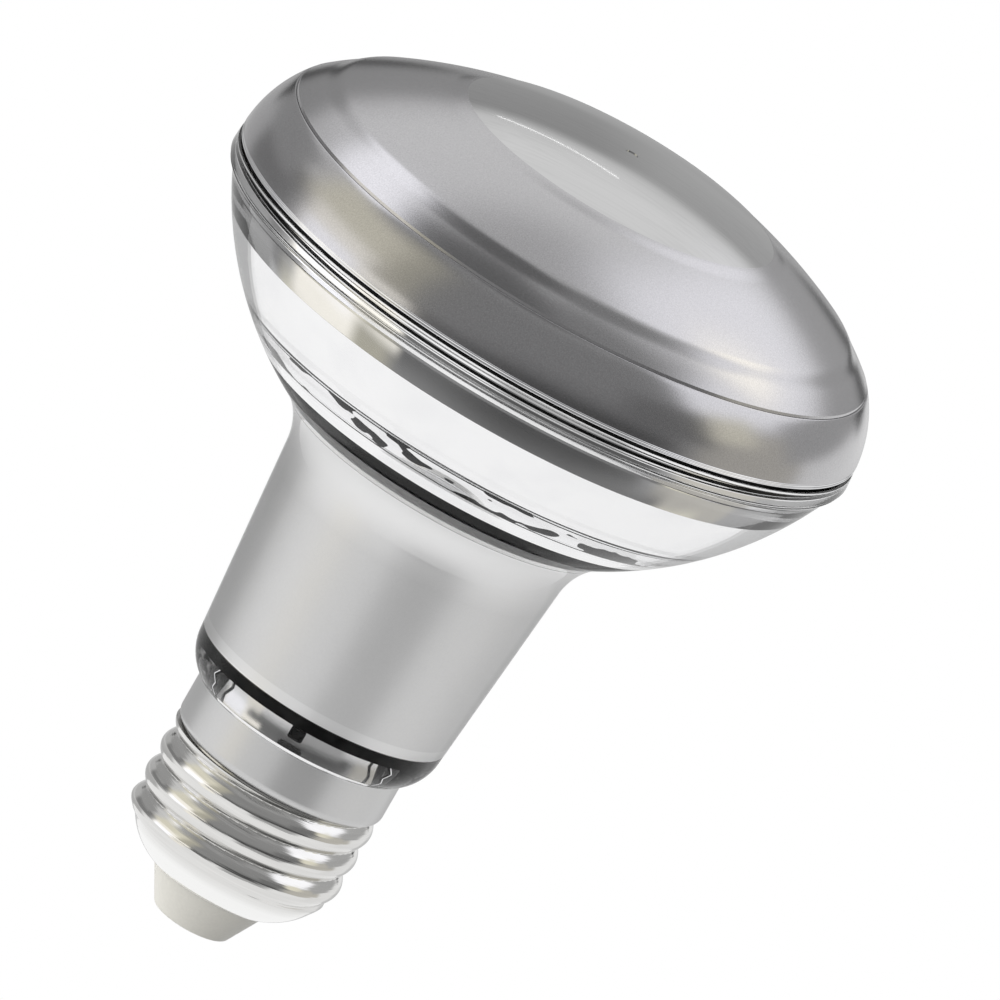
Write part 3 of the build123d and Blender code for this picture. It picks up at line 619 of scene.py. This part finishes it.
# %% Draw the inside and spin the glass
CONTACT = 0.02 * MM
GLASS_WALL = 1.2 * MM
SLEEVE_INSET = 1.35 * MM
LIP_BORE_R = 12.9 * MM
LIP_BULGE_INSIDE = 0.36 * MM
BORE_STEPS = 12
FLARE_STEPS = 6
SLEEVE_STEPS = 70
GAP_STEPS = 2
sleeve_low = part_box("neck_sleeve")[0].z
sleeve_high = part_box("neck_sleeve")[1].z
neck_bore = (NECK_R - GLASS_WALL, NECK_Z)


def sunk(facet):
    """A facet sunk by the contact depth into the metal and carried as far down."""
    (r0, z0), (r1, z1) = facet[:2]
    slope = (r1 - r0) / (z1 - z0)
    back = CONTACT * (slope + math.hypot(1, slope))
    heights = spread(z1, facet[-1][1] - CONTACT, FACET_STEPS)
    return [(r0 - back, z0 - CONTACT)] + [(ball_radius(z, REFLECTOR_INSET + CONTACT), z) for z in heights]


inside = bulged((LIP_BORE_R, mouth_z), neck_bore, LIP_BULGE_INSIDE, BORE_STEPS)[:-1]
inside += body_wall(NECK_Z, sleeve_low - CONTACT, GLASS_WALL, GAP_STEPS)
inside += body_wall(sleeve_low + CONTACT, sleeve_high - CONTACT, SLEEVE_INSET + CONTACT, SLEEVE_STEPS)
inside += body_wall(sleeve_high + CONTACT, mirror_foot_z - 2 * CONTACT, GLASS_WALL, FLARE_STEPS)
inside += [point for facet in facets for point in sunk(facet)]
inside += [(flange_foot_r - CONTACT, flange_z - CONTACT), (flange_r - CONTACT, lip_z + CONTACT)]
inside += [(lip_edge_r - CONTACT, lip_z + CONTACT), (lip_edge_r - CONTACT, rim_z)]

CLEAR, CALM = range(2)
CALM_SPAN = (mirror_foot_z - 1.0 * MM, facet_z[1] + 0.25 * MM)
OUTER_SKIN = 0.5 * MM


def glass_finish(middle):
    """Calm glass over the dark foot of the mirror, clear glass everywhere else."""
    over_foot = CALM_SPAN[0] < middle.z < CALM_SPAN[1]
    on_outside = middle.to_2d().length > body_radius(middle.z, OUTER_SKIN)
    return CALM if over_foot and on_outside else CLEAR


glass_outline = outside + inside[::-1]
glass_body = lathe("glass_body", glass_outline, [clear_glass, calm_glass], glass_finish)
settle(glass_body, "outer_body")

# %% [markdown]
# ## Coat behind the rim
# The clear rim shines because the lip of the mirror lies behind it, bent in at its foot. That coat is too
# thin to be a solid of its own. A second finish on the glass would shine on the wrong side of it, so the
# coat is a thin ring sunk a hair into the glass, with its bend where the rim's ledge is.

# %% Coat the rim
COAT_T = 0.2 * MM
coat_foot = (lip_edge_r - 0.33 * MM, RIM_FOOT_Z + 0.52 * MM)
coat_bend = (lip_edge_r, RIM_FOOT_Z + 1.0 * MM)
coat_top = (lip_edge_r, lip_z + CONTACT)
coat_face = [coat_foot, coat_bend, coat_top]
coat_outline = coat_face + [(r - COAT_T, z) for r, z in reversed(coat_face)]
rim_coat = lathe("rim_coat", coat_outline, [mirror])
add_trim(rim_coat)

# %% [markdown]
# ## Flare of the sleeve
# Between the top of the sleeve and the foot of the mirror the neck shows the same satin metal, curving out
# with the glass. The sleeve itself ends lower down, so a thin ring carries its metal on. It is drawn with
# the body's own formula and lies in contact with the glass, as the sleeve does.

# %% Close the flare
FLARE_T = 0.4 * MM
FLARE_GAP = 0.05 * MM
FLARE_FACE_STEPS = 8
flare_ends = (sleeve_high + FLARE_GAP, mirror_foot_z - FLARE_GAP)
flare_face = body_wall(*flare_ends, GLASS_WALL - CONTACT, FLARE_FACE_STEPS)
flare_outline = flare_face + [(r - FLARE_T, z) for r, z in reversed(flare_face)]
flare_ring = lathe("flare_ring", flare_outline, [satin_aluminium])
add_trim(flare_ring)

# %% [markdown]
# ## Front
# The front is satin silver: a rounded shoulder, a fine step, a shallow valley inside the step and a low
# dome that carries the window. Sculpting would make the soft parts lumpy. The shoulder and the dome are arcs
# that touch, so one height formula gives both. The valley is a smooth dip taken off that height, and the
# dome swells a hair up to the window's edge. The lowest edge is a polished double bead.

# %% Work out the front's height
SHOULDER_R = 13.5 * MM
SHOULDER_DROP = 0.6 * MM
DOME_R = 67.5 * MM
LENS_BORE = 19.8 * MM
LENS_PROUD = 0.13 * MM
LENS_RAMP = 2.0 * MM
cover_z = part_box("front_cover")[0].z
cover_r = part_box("front_cover")[1].x
shoulder_centre = (cover_r - SHOULDER_R, cover_z - SHOULDER_DROP)
dome_z = shoulder_centre[1] - math.sqrt((DOME_R - SHOULDER_R) ** 2 - shoulder_centre[0] ** 2)
touch_r = shoulder_centre[0] * DOME_R / (DOME_R - SHOULDER_R)


def front_height(r, inset=0.0):
    """Height of the dome or the shoulder at a radius, set in from the outside."""
    if r < touch_r * (DOME_R - inset) / DOME_R:
        return dome_z + math.sqrt((DOME_R - inset) ** 2 - r**2)
    return shoulder_centre[1] + math.sqrt((SHOULDER_R - inset) ** 2 - (r - shoulder_centre[0]) ** 2)


def shoulder_turn(r, inset=0.0):
    """Angle on the shoulder's arc, in degrees, at a radius."""
    return math.degrees(math.acos((r - shoulder_centre[0]) / (SHOULDER_R - inset)))


def smooth_rise(value, low, high):
    """0 below low, 1 above high and a smooth climb between."""
    t = max(0.0, min(1.0, (value - low) / (high - low)))
    return t * t * (3 - 2 * t)


def lens_collar(r):
    """How far the dome swells up to the window's edge, which stands a hair proud of it."""
    return LENS_PROUD * (1 - smooth_rise(r, LENS_BORE, LENS_BORE + LENS_RAMP))


print(f"dome and shoulder touch at a radius of {touch_r / MM:.2f} mm")

# %% Outline the front's outside
VALLEY_DEPTH = 0.32 * MM
inner_bank = [(32.4 * MM, 0), (33.2 * MM, 0), (33.6 * MM, VALLEY_DEPTH), (34.4 * MM, VALLEY_DEPTH)]
outer_bank = [inner_bank[-1], (35.1 * MM, VALLEY_DEPTH), (36.0 * MM, 0.25 * MM), (36.72 * MM, 0.02 * MM)]
INNER_BANK_STEPS = 24
OUTER_BANK_STEPS = 14
valley = interpolate_bezier(*map(Vector, inner_bank), INNER_BANK_STEPS)
valley += interpolate_bezier(*map(Vector, outer_bank), OUTER_BANK_STEPS)[1:]

STEP_R = 36.85 * MM
STEP_LIP = 0.16 * MM
STEP_LIP_STEPS = 8
SEAM_DEPTH = 0.16 * MM
SEAM_W = 0.05 * MM
seam = (STEP_R - SEAM_W, front_height(STEP_R) - SEAM_DEPTH)
step_edge = (STEP_R, front_height(STEP_R))
shoulder_start_r = STEP_R + 3 * STEP_LIP
shoulder_start = (shoulder_start_r, front_height(shoulder_start_r))

BEAD_TOP = cover_z + 0.78 * MM
BEAD_R = 0.16 * MM
BEAD_MIDDLE_R = 39.66 * MM
upper_bead = (BEAD_MIDDLE_R, cover_z + 0.6 * MM)
lower_bead = (BEAD_MIDDLE_R, cover_z + BEAD_R + 0.13 * MM)
UPPER_BEAD_ENDS = (70, -40)
LOWER_BEAD_ENDS = (60, -90)
satin_end = math.degrees(math.asin((BEAD_TOP - shoulder_centre[1]) / SHOULDER_R))

DOME_STEPS = 72
SHOULDER_STEPS = 40
UPPER_BEAD_STEPS = 8
LOWER_BEAD_STEPS = 10
seat_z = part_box("centre_lens")[0].z
dome_radii = spread(LENS_BORE, inner_bank[0][0], DOME_STEPS)[:-1]
front_out = [(LENS_BORE, seat_z)]
front_out += [(r, front_height(r) + lens_collar(r)) for r in dome_radii]
front_out += [(r, front_height(r) - depth) for r, depth in valley]
front_out += [seam]
front_out += rounded(seam, step_edge, shoulder_start, STEP_LIP, STEP_LIP_STEPS)
front_out += arc(shoulder_centre, SHOULDER_R, shoulder_turn(shoulder_start_r), satin_end, SHOULDER_STEPS)
front_out += arc(upper_bead, BEAD_R, *UPPER_BEAD_ENDS, UPPER_BEAD_STEPS)
front_out += arc(lower_bead, BEAD_R, *LOWER_BEAD_ENDS, LOWER_BEAD_STEPS)
print(f"{len(front_out)} points from the window's seat to the lower bead")

# %% Outline the inside and spin the front
COVER_WALL = 1.3 * MM
FOOT_BORE = 36.67 * MM
FOOT_TOP = cover_z + 1.4 * MM
LEDGE_BORE = 18.5 * MM
LEDGE_T = 0.9 * MM
INSIDE_STEPS = 16
inner_r = SHOULDER_R - COVER_WALL
inner_touch = touch_r * (DOME_R - COVER_WALL) / DOME_R
foot_turn = math.degrees(math.asin((FOOT_TOP - shoulder_centre[1]) / inner_r))
touch_turn = shoulder_turn(inner_touch, COVER_WALL)
ledge_z = seat_z - LEDGE_T
ledge_r = math.sqrt((DOME_R - COVER_WALL) ** 2 - (ledge_z - dome_z) ** 2)
front_in = [(FOOT_BORE, cover_z), (FOOT_BORE, FOOT_TOP)]
front_in += arc(shoulder_centre, inner_r, foot_turn, touch_turn, INSIDE_STEPS)
front_in += [(r, front_height(r, COVER_WALL)) for r in spread(inner_touch, ledge_r, INSIDE_STEPS)][1:]
front_in += [(LEDGE_BORE, ledge_z), (LEDGE_BORE, seat_z)]
SATIN, POLISHED = range(2)


def front_finish(middle):
    """The lowest edge is polished, everything above it is satin."""
    return POLISHED if middle.z < BEAD_TOP else SATIN


satin_front = lathe("satin_front", front_out + front_in, [satin_silver, polished_edge], front_finish)
settle(satin_front, "front_cover")

# %% [markdown]
# ## Painted shade in the mouth
# Under the sleeve the glass mouth is dark, from the black tube and the shade inside it: a thin black sheet of
# painted shade lies against its bore all round, and comes further down between the two latch tabs, where it
# carries pale painted glints. Black faces on the glass's own bore would have to follow its rings. Separate
# strips can end anywhere, so the painted shade is a ring and two strips bent about the axis, all sunk a hair
# into the glass that they touch.

# %% Paint shade into the mouth
SHADE_T = 0.3 * MM
SHADE_STRIP_TURN = 71
TAB_CLEARANCE = 0.15 * MM
BEND_STEPS = 40
BORE_PARTS = 24
RING_STEPS = 4
STRIP_STEPS = 10
shade_low = mouth_z + 0.3 * MM
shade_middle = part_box("driver_housing")[1].z + TAB_CLEARANCE
shade_high = sleeve_low - CONTACT


def mouth_bore(z):
    """Radius of the glass mouth's bore at a height."""
    points = bulged((LIP_BORE_R, mouth_z), neck_bore, LIP_BULGE_INSIDE, BORE_PARTS)
    for (r0, z0), (r1, z1) in zip(points, points[1:]):
        if z <= z1:
            return r0 + (r1 - r0) * (z - z0) / (z1 - z0)
    return neck_radius(z, GLASS_WALL)


def bore_strip_outline(z_low, z_high, steps, thick):
    """Outline of a strip of painted shade or highlight between two heights, sunk a hair into the glass that
    it lies against.
    """
    heights = spread(z_low, z_high, steps)
    outer = [(mouth_bore(z) + CONTACT, z) for z in heights]
    return outer + [(mouth_bore(z) - thick, z) for z in reversed(heights)]


def bent_strip(name, middle_turn, span, outline, material):
    """A strip bent about the axis: an outline carried through an arc, closed at both ends."""
    corners = []
    for turn in spread(middle_turn - span / 2, middle_turn + span / 2, BEND_STEPS):
        a = math.radians(turn)
        corners += [(r * math.cos(a), r * math.sin(a), z) for r, z in outline]
    n = len(outline)
    faces = [tuple(range(n)), tuple(reversed(range(len(corners) - n, len(corners))))]
    for k in range(BEND_STEPS):
        here = k * n
        there = (k + 1) * n
        faces += [(here + i, there + i, there + (i + 1) % n, here + (i + 1) % n) for i in range(n)]
    return mesh_piece(name, corners, faces, [material])


# Painted shade: a black ring above the tabs and two strips with pale painted glints between them darken the
# shaded mouth.
ring_outline = bore_strip_outline(shade_middle, shade_high, RING_STEPS, SHADE_T)
add_trim(lathe("mouth_painted_shade", ring_outline, [black_and_painted_shade]))
strip_outline = bore_strip_outline(shade_low, shade_middle, STRIP_STEPS, SHADE_T)
for side, turn in (("right", 0), ("left", 180)):
    strip = bent_strip(f"mouth_painted_shade_{side}", turn, SHADE_STRIP_TURN, strip_outline, painted_shade_glints)
    add_trim(strip)

# %% [markdown]
# ## Slots and bright lips
# Each latch tab has a small slot at its foot, dark with shade, and below it the lip of the glass catches the
# light as one bright line. Both are too small to be worth a cut in a solid. So they are two more bent strips
# on the glass's bore, thinner than the mouth's painted shade: a black one of painted shade and a mirror one
# of painted highlight.

# %% Add the slots and the lips
STRIP_T = 0.1 * MM
SLOT_TURN = 12.6
SLOT_SPAN = (mouth_z + 0.66 * MM, mouth_z + 1.24 * MM)
SLOT_STEPS = 4
LIP_TURN = 94
LIP_SPAN = (mouth_z + 0.02 * MM, mouth_z + 0.64 * MM)
LIP_LINE_STEPS = 6
TAB_TURNS = {"front": -90, "back": 90}
# Painted shade for each slot and a painted highlight for each lip of the glass.
slot_outline = bore_strip_outline(*SLOT_SPAN, SLOT_STEPS, STRIP_T)
lip_outline = bore_strip_outline(*LIP_SPAN, LIP_LINE_STEPS, STRIP_T)
for side, turn in TAB_TURNS.items():
    slot = bent_strip(f"slot_shade_{side}", turn, SLOT_TURN, slot_outline, black_and_painted_shade)
    add_trim(slot)
for side, turn in TAB_TURNS.items():
    lip = bent_strip(f"bright_lip_{side}", turn, LIP_TURN, lip_outline, mirror)
    add_trim(lip)

# %% [markdown]
# ## Ends of the tabs
# A tab does not end in a straight line: its edge zigzags, dark with shade and with a thin highlight on its
# rim. A boolean cut could notch it, but the tabs belong to the housing, which keeps its CAD mesh. So each end
# gets two narrow upright strips in the glass's bore, a black strip of painted shade and a polished strip of
# painted highlight, whose long edges step to and fro on the way up.

# %% Notch the tabs' ends
TAB_END = 46.5
EDGE_TURNS = (0.4, 2.8, 0.6, 3.0, 0.0)
DARK_EDGE = 1.5
BRIGHT_EDGE = 0.6
edge_heights = spread(SLOT_SPAN[0], shade_middle, len(EDGE_TURNS) - 1)


def notched_edge(name, end_turn, side, shift, width, material):
    """A thin upright strip in the glass's bore whose two long edges zigzag."""
    corners = []
    for z, step in zip(edge_heights, EDGE_TURNS):
        inner = mouth_bore(z) - STRIP_T
        outer = mouth_bore(z) + CONTACT
        for r, off in ((inner, 0), (inner, width), (outer, width), (outer, 0)):
            a = math.radians(end_turn + side * (step + shift + off))
            corners.append((r * math.cos(a), r * math.sin(a), z))
    top = len(corners) - 4
    faces = [(0, 1, 2, 3), (top + 3, top + 2, top + 1, top)]
    for low in range(0, top, 4):
        faces += [(low + k, low + (k + 1) % 4, low + 4 + (k + 1) % 4, low + 4 + k) for k in range(4)]
    return mesh_piece(name, corners, faces, [material])


for tab, tab_turn in TAB_TURNS.items():
    for end, side in (("right", 1), ("left", -1)):
        end_turn = tab_turn + side * TAB_END
        # Painted shade strip, then a painted highlight strip along its edge.
        dark = notched_edge(f"tab_{tab}_{end}_dark", end_turn, side, 0, DARK_EDGE, black_and_painted_shade)
        add_trim(dark)
        name = f"tab_{tab}_{end}_bright"
        bright = notched_edge(name, end_turn, side, DARK_EDGE, BRIGHT_EDGE, polished_edge)
        add_trim(bright)

# %% [markdown]
# ## Screw shell
# The shell is thin drawn metal: a rounded foot that closes on the insulator, and a wall pressed into a
# right-hand thread. A ridge swept along a helix would have to be joined to the wall. Here the thread is a
# height added to the wall's radius, by how far a point lies from the nearest turn of the helix. It swells
# from nothing over half a turn and dies away on the foot.

# %% Spin the shell
THREAD_DEPTH = 0.95 * MM
CREST_R = 13.1 * MM
ROOT_R = CREST_R - THREAD_DEPTH
PITCH = 3.629 * MM
RIDGE_HALF = 1.8 * MM
RIDGE_FULLNESS = 1.15
SWELL_SPAN = (-0.25, 0.25)
RUNOUT_SPAN = (2.75 * MM, 4.95 * MM)
SHELL_WALL = 0.5 * MM
SHELL_LIP_R = 7.85 * MM
FOOT_H = 3.95 * MM
FOOT_BULGE = 0.5 * MM
FOOT_STEPS = 24
THREAD_STEPS = 200
FOOT_IN_STEPS = 12
shell_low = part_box("screw_shell")[0].z
shell_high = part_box("screw_shell")[1].z
thread_start = shell_low + 2.92 * MM
thread_end = shell_high - 0.1 * MM
wall_low = shell_low + FOOT_H


def ridge_height(turn, z):
    """How far the thread stands out of the wall at a turn about the axis and a height."""
    round_turn = turn / (2 * math.pi)
    climb = (z - thread_start) / PITCH - round_turn
    nearest = round(climb)
    off = (climb - nearest) * PITCH / RIDGE_HALF
    swell = smooth_rise(nearest + round_turn, *SWELL_SPAN) * smooth_rise(z - shell_low, *RUNOUT_SPAN)
    return THREAD_DEPTH * swell * max(0.0, 1 - off**2) ** RIDGE_FULLNESS


shell_wall = bulged((SHELL_LIP_R + SHELL_WALL, shell_low), (ROOT_R, wall_low), FOOT_BULGE, FOOT_STEPS)
shell_wall += [(ROOT_R, z) for z in spread(wall_low, thread_end, THREAD_STEPS)][1:]
shell_inside = bulged((SHELL_LIP_R, shell_low), (ROOT_R - SHELL_WALL, wall_low), FOOT_BULGE, FOOT_IN_STEPS)
shell_inside += [(ROOT_R - SHELL_WALL, shell_high), (ROOT_R, shell_high), (ROOT_R, thread_end)]


def shell_outline(turn):
    """Half outline of the shell at a turn about the axis."""
    return [(r + ridge_height(turn, z), z) for r, z in shell_wall] + shell_inside[::-1]


thread_shell = lathe("thread_shell", shell_outline, [nickel])
settle(thread_shell, "screw_shell")

# %% [markdown]
# ## Light tent
# Metal shows its surroundings more than its colour. Area lamps would show as hard-edged panes in it, so the
# light is a tent round the lamp whose brightness changes softly from place to place. Each sheet of it is
# given by the turns from the viewer and the rises above the horizon that it spans, in degrees, and a later
# sheet covers an earlier one.

# %% Cut the sheets
LILAC = (0.965, 0.965, 1.0)
WARM = (1.0, 0.965, 0.88)
KHAKI = (1.0, 0.96, 0.8)
WHITE = (1.0, 1.0, 1.0)
BARE_TENT = Vector((0.42, 0.42, 0.42))
ZENITH_CUT = 0.05
sheets = []


def hang(turn, rise, level, tint=WHITE, fade=8):
    """Hang a sheet: its span in degrees, how bright it is, its tint, and how wide its soft edge is."""
    sheets.append((turn, rise, level, tint, fade))


def inside_share(value, low, high, fade):
    """1 inside a span, falling smoothly to 0 over the fade at either end."""
    return smooth_rise(min(value - low, high - value) / fade + 0.5, 0, 1)


def tent_colour(turn, rise):
    """Colour of the tent in one direction from the lamp. Side edges widen towards the zenith."""
    colour = BARE_TENT
    narrowing = max(ZENITH_CUT, math.cos(math.radians(rise)))
    for span, heights, level, tint, fade in sheets:
        middle = (span[0] + span[1]) / 2
        around = middle + (turn - middle + 180) % 360 - 180
        share = inside_share(around, *span, fade / narrowing) * inside_share(rise, *heights, fade)
        colour = colour.lerp(Vector(tint) * level, share)
    return colour


# The ceiling, and the wall behind the lamp, lighter on its right
hang((-240, 240), (62, 100), 0.6)
hang((105, 255), (12, 64), 0.72)
hang((112, 172), (-40, 26), 0.9)
hang((188, 262), (-40, 14), 0.5)
# On the left a dark gap under a grey sheet, on the right a warm grey one
hang((-135, -95), (-14, 16), 0.24)
hang((-132, -85), (18, 40), 0.7)
hang((68, 114), (-40, 22), 0.57, WARM)
# High soft lights: from the right round to the back, and on the left
hang((64, 118), (24, 58), 1.3, LILAC, fade=12)
hang((118, 168), (30, 73), 1.35, LILAC, fade=14)
hang((166, 222), (32, 62), 0.92, fade=14)
hang((118, 142), (42, 58), 1.8, WARM)
hang((-134, -84), (40, 60), 1.6, LILAC, fade=10)
# The dark side towards the viewer, darkest low down, with a warm strip at each end
hang((-62, 62), (-40, 54), 0.3, fade=10)
hang((-50, 60), (-40, 5), 0.16)
hang((-6, 60), (-40, 5), 0.05, fade=40)
hang((40, 74), (8, 31), 0.2)
hang((72, 92), (14, 31), 0.9, KHAKI)
hang((-62, -38), (2, 46), 0.52, KHAKI, fade=10)
# Dark cloths overhead, on the viewer's side
hang((-104, 26), (60, 86), 0.17)
hang((14, 92), (60, 86), 0.3)
# The low light on the left
hang((-96, -52), (12, 40), 0.85, KHAKI, fade=12)
hang((-89, -55), (-40, 16), 1.2, WARM)
hang((-87, -59), (-40, 4), 1.45, LILAC)
# A grey band at the back with two black cards under it, and a small warm patch at the front
hang((105, 186), (4, 26.7), 0.46, fade=6)
hang((180, 255), (4, 26.7), 0.36, fade=6)
hang((150, 172), (-0.3, 7), 0.03, fade=3)
hang((188, 210), (-0.3, 7), 0.03, fade=3)
hang((-58, -36), (-5, 3), 1.35, WARM, fade=5)
# The table below the horizon, dimmer at the back and front right, with a warm patch at the front left
hang((-180, 180), (-40, -12), 0.95, fade=5)
hang((104, 150), (-40, -12), 0.88)
hang((146, 200), (-40, -12), 0.6, fade=12)
hang((194, 250), (-40, -12), 0.5, fade=12)
hang((0, 52), (-40, -10), 0.45, fade=12)
hang((-62, -42), (-28, -11), 1.1, WARM, fade=6)
print(f"{len(sheets)} sheets cut")

# %% [markdown]
# ## Put the tent up
# The sheets could be painted on an image of the whole sky. As colours on the corners of a dome mesh they
# need no image, and one degree between corners is finer than their edges. The dome carries two layers:
# metal and glass see the sheets, while matt surfaces are lit by one broad light from the left. The camera
# does not see the tent, so the picture keeps its white ground.

# %% Build the dome
LAMP_MIDDLE = Vector((0, 0, 0.07))
TENT_R = 0.6
TENT_FOOT = -31
TENT_TOP = 90
KEY_LEVEL = 1.05
KEY_LEAN = 1.0


def direction(turn, rise):
    """Unit vector towards a turn from the viewer and a rise above the horizon, in degrees."""
    a = math.radians(turn)
    e = math.radians(rise)
    return Vector((math.sin(a) * math.cos(e), -math.cos(a) * math.cos(e), math.sin(e)))


rises = range(TENT_FOOT, TENT_TOP + 1)
tent_corners = []
sheet_colours = []
key_colours = []
for turn in range(360):
    for rise in rises:
        towards = direction(turn, rise)
        tent_corners.append(LAMP_MIDDLE + towards * TENT_R)
        sheet_colours += [*tent_colour(turn, rise), 1.0]
        key_colours += [KEY_LEVEL - KEY_LEAN * towards.x] * 3 + [1.0]
column = len(rises)
tent_faces = []
for turn in range(360):
    here = turn * column
    there = (turn + 1) % 360 * column
    tent_faces += [(here + k, here + k + 1, there + k + 1, there + k) for k in range(column - 1)]
tent_mesh = bpy.data.meshes.new("tent")
tent_mesh.from_pydata(tent_corners, [], tent_faces)
for layer, colours in (("light", sheet_colours), ("key", key_colours)):
    tent_mesh.color_attributes.new(layer, "FLOAT_COLOR", "POINT").data.foreach_set("color", colours)
print(f"tent of {len(tent_faces)} faces")


# %% Light the tent
def glow(name, strength):
    """A material that only shines."""
    material = bpy.data.materials.new(name)
    material.use_nodes = True
    tree = material.node_tree
    tree.nodes.clear()
    light = tree.nodes.new("ShaderNodeEmission")
    light.name = "Light"
    light.inputs["Strength"].default_value = strength
    output = tree.nodes.new("ShaderNodeOutputMaterial")
    tree.links.new(light.outputs["Emission"], output.inputs["Surface"])
    material.cycles.emission_sampling = "NONE"
    return material


def hide_from_camera(name, mesh):
    """Put a mesh of the studio into the scene so that it lights the lamp but stays out of the picture."""
    thing = bpy.data.objects.new(name, mesh)
    thing.visible_camera = False
    bpy.context.scene.collection.objects.link(thing)


tent_light = glow("tent_light", 1.0)
tree = tent_light.node_tree
path = tree.nodes.new("ShaderNodeLightPath")
choice = tree.nodes.new("ShaderNodeMix")
choice.data_type = "RGBA"
tree.links.new(ramp(tree, path.outputs["Diffuse Depth"], UNIT), choice.inputs["Factor"])
for layer, socket in (("light", "A"), ("key", "B")):
    source = tree.nodes.new("ShaderNodeVertexColor")
    source.layer_name = layer
    tree.links.new(source.outputs["Color"], choice.inputs[socket])
tree.links.new(choice.outputs["Result"], tree.nodes["Light"].inputs["Color"])
tent_mesh.materials.append(tent_light)
hide_from_camera("tent", tent_mesh)
print(f"tent lit by {len(tree.nodes)} nodes")

# %% [markdown]
# ## Tube
# The polished window shows one thin white line, the reflection of a long tube high up behind the lamp. On
# the tent it would be blurred to a degree, so it is a narrow strip of its own just inside the tent, given
# by the directions of its two ends and by half its width as an angle.

# %% Hang the tube
TUBE_ENDS = ((180.0, 33.2), (191.0, 28.3))
TUBE_HALF = math.radians(0.09)
TUBE_R = TENT_R - 0.05
TUBE_STRENGTH = 2.4
start, end = [LAMP_MIDDLE + direction(*way) * TUBE_R for way in TUBE_ENDS]
across = (end - start).cross(start - LAMP_MIDDLE).normalized() * TUBE_R * TUBE_HALF
tube_mesh = bpy.data.meshes.new("tube")
tube_mesh.from_pydata([start + across, start - across, end - across, end + across], [], [(0, 1, 2, 3)])
tube_mesh.materials.append(glow("tube_light", TUBE_STRENGTH))
hide_from_camera("tube", tube_mesh)
print(f"tube {(end - start).length / MM:.0f} mm long")

# %% [markdown]
# ## Floor and background
# The ground of the picture is white. Lighting a floor until it is white would also flood the lamp. So the
# floor and the world shine white only to rays that look at them, straight or by way of metal and glass, and
# are dimmer to the rays that light the lamp.

# %% Lay the floor
FLOOR_DROP = 250 * MM
FLOOR_SIDE = 1.0
FLOOR_PARTS = 4
FLOOR_GLOW = 0.85


def is_looked_at(tree):
    """A socket that is 1 for rays that look at a surface and 0 for rays that light the lamp."""
    path = tree.nodes.new("ShaderNodeLightPath")
    seen = path.outputs["Is Camera Ray"]
    for kind in ("Is Glossy Ray", "Is Transmission Ray"):
        either = tree.nodes.new("ShaderNodeMath")
        either.operation = "MAXIMUM"
        tree.links.new(seen, either.inputs[0])
        tree.links.new(path.outputs[kind], either.inputs[1])
        seen = either.outputs["Value"]
    return seen


bpy.ops.mesh.primitive_grid_add(
    x_subdivisions=FLOOR_PARTS,
    y_subdivisions=FLOOR_PARTS,
    size=FLOOR_SIDE,
    location=(0, 0, -FLOOR_DROP),
)
floor = bpy.context.object
floor.name = "floor"
floor_white = finish("floor_white", (0.6, 0.6, 0.6), roughness=0.8)
tree = floor_white.node_tree
shine = tree.nodes.new("ShaderNodeEmission")
blend = tree.nodes.new("ShaderNodeMixShader")
tree.links.new(ramp(tree, is_looked_at(tree), UNIT, (0.0, FLOOR_GLOW)), blend.inputs["Fac"])
tree.links.new(shader_of(floor_white).outputs["BSDF"], blend.inputs[1])
tree.links.new(shine.outputs["Emission"], blend.inputs[2])
tree.links.new(blend.outputs["Shader"], tree.nodes["Material Output"].inputs["Surface"])
floor_white.cycles.emission_sampling = "NONE"
floor.data.materials.append(floor_white)
print(f"floor {FLOOR_DROP / MM:.0f} mm below the lamp's tip")

# %% Fill the background
FILL_LEVELS = (0.6, 1.0)
world = bpy.data.worlds.new("studio")
bpy.context.scene.world = world
world.use_nodes = True
tree = world.node_tree
background = tree.nodes["Background"]
background.inputs["Color"].default_value = (1, 1, 1, 1)
tree.links.new(ramp(tree, is_looked_at(tree), UNIT, FILL_LEVELS), background.inputs["Strength"])
print(f"background lights at {FILL_LEVELS[0]} and looks {FILL_LEVELS[1]}")
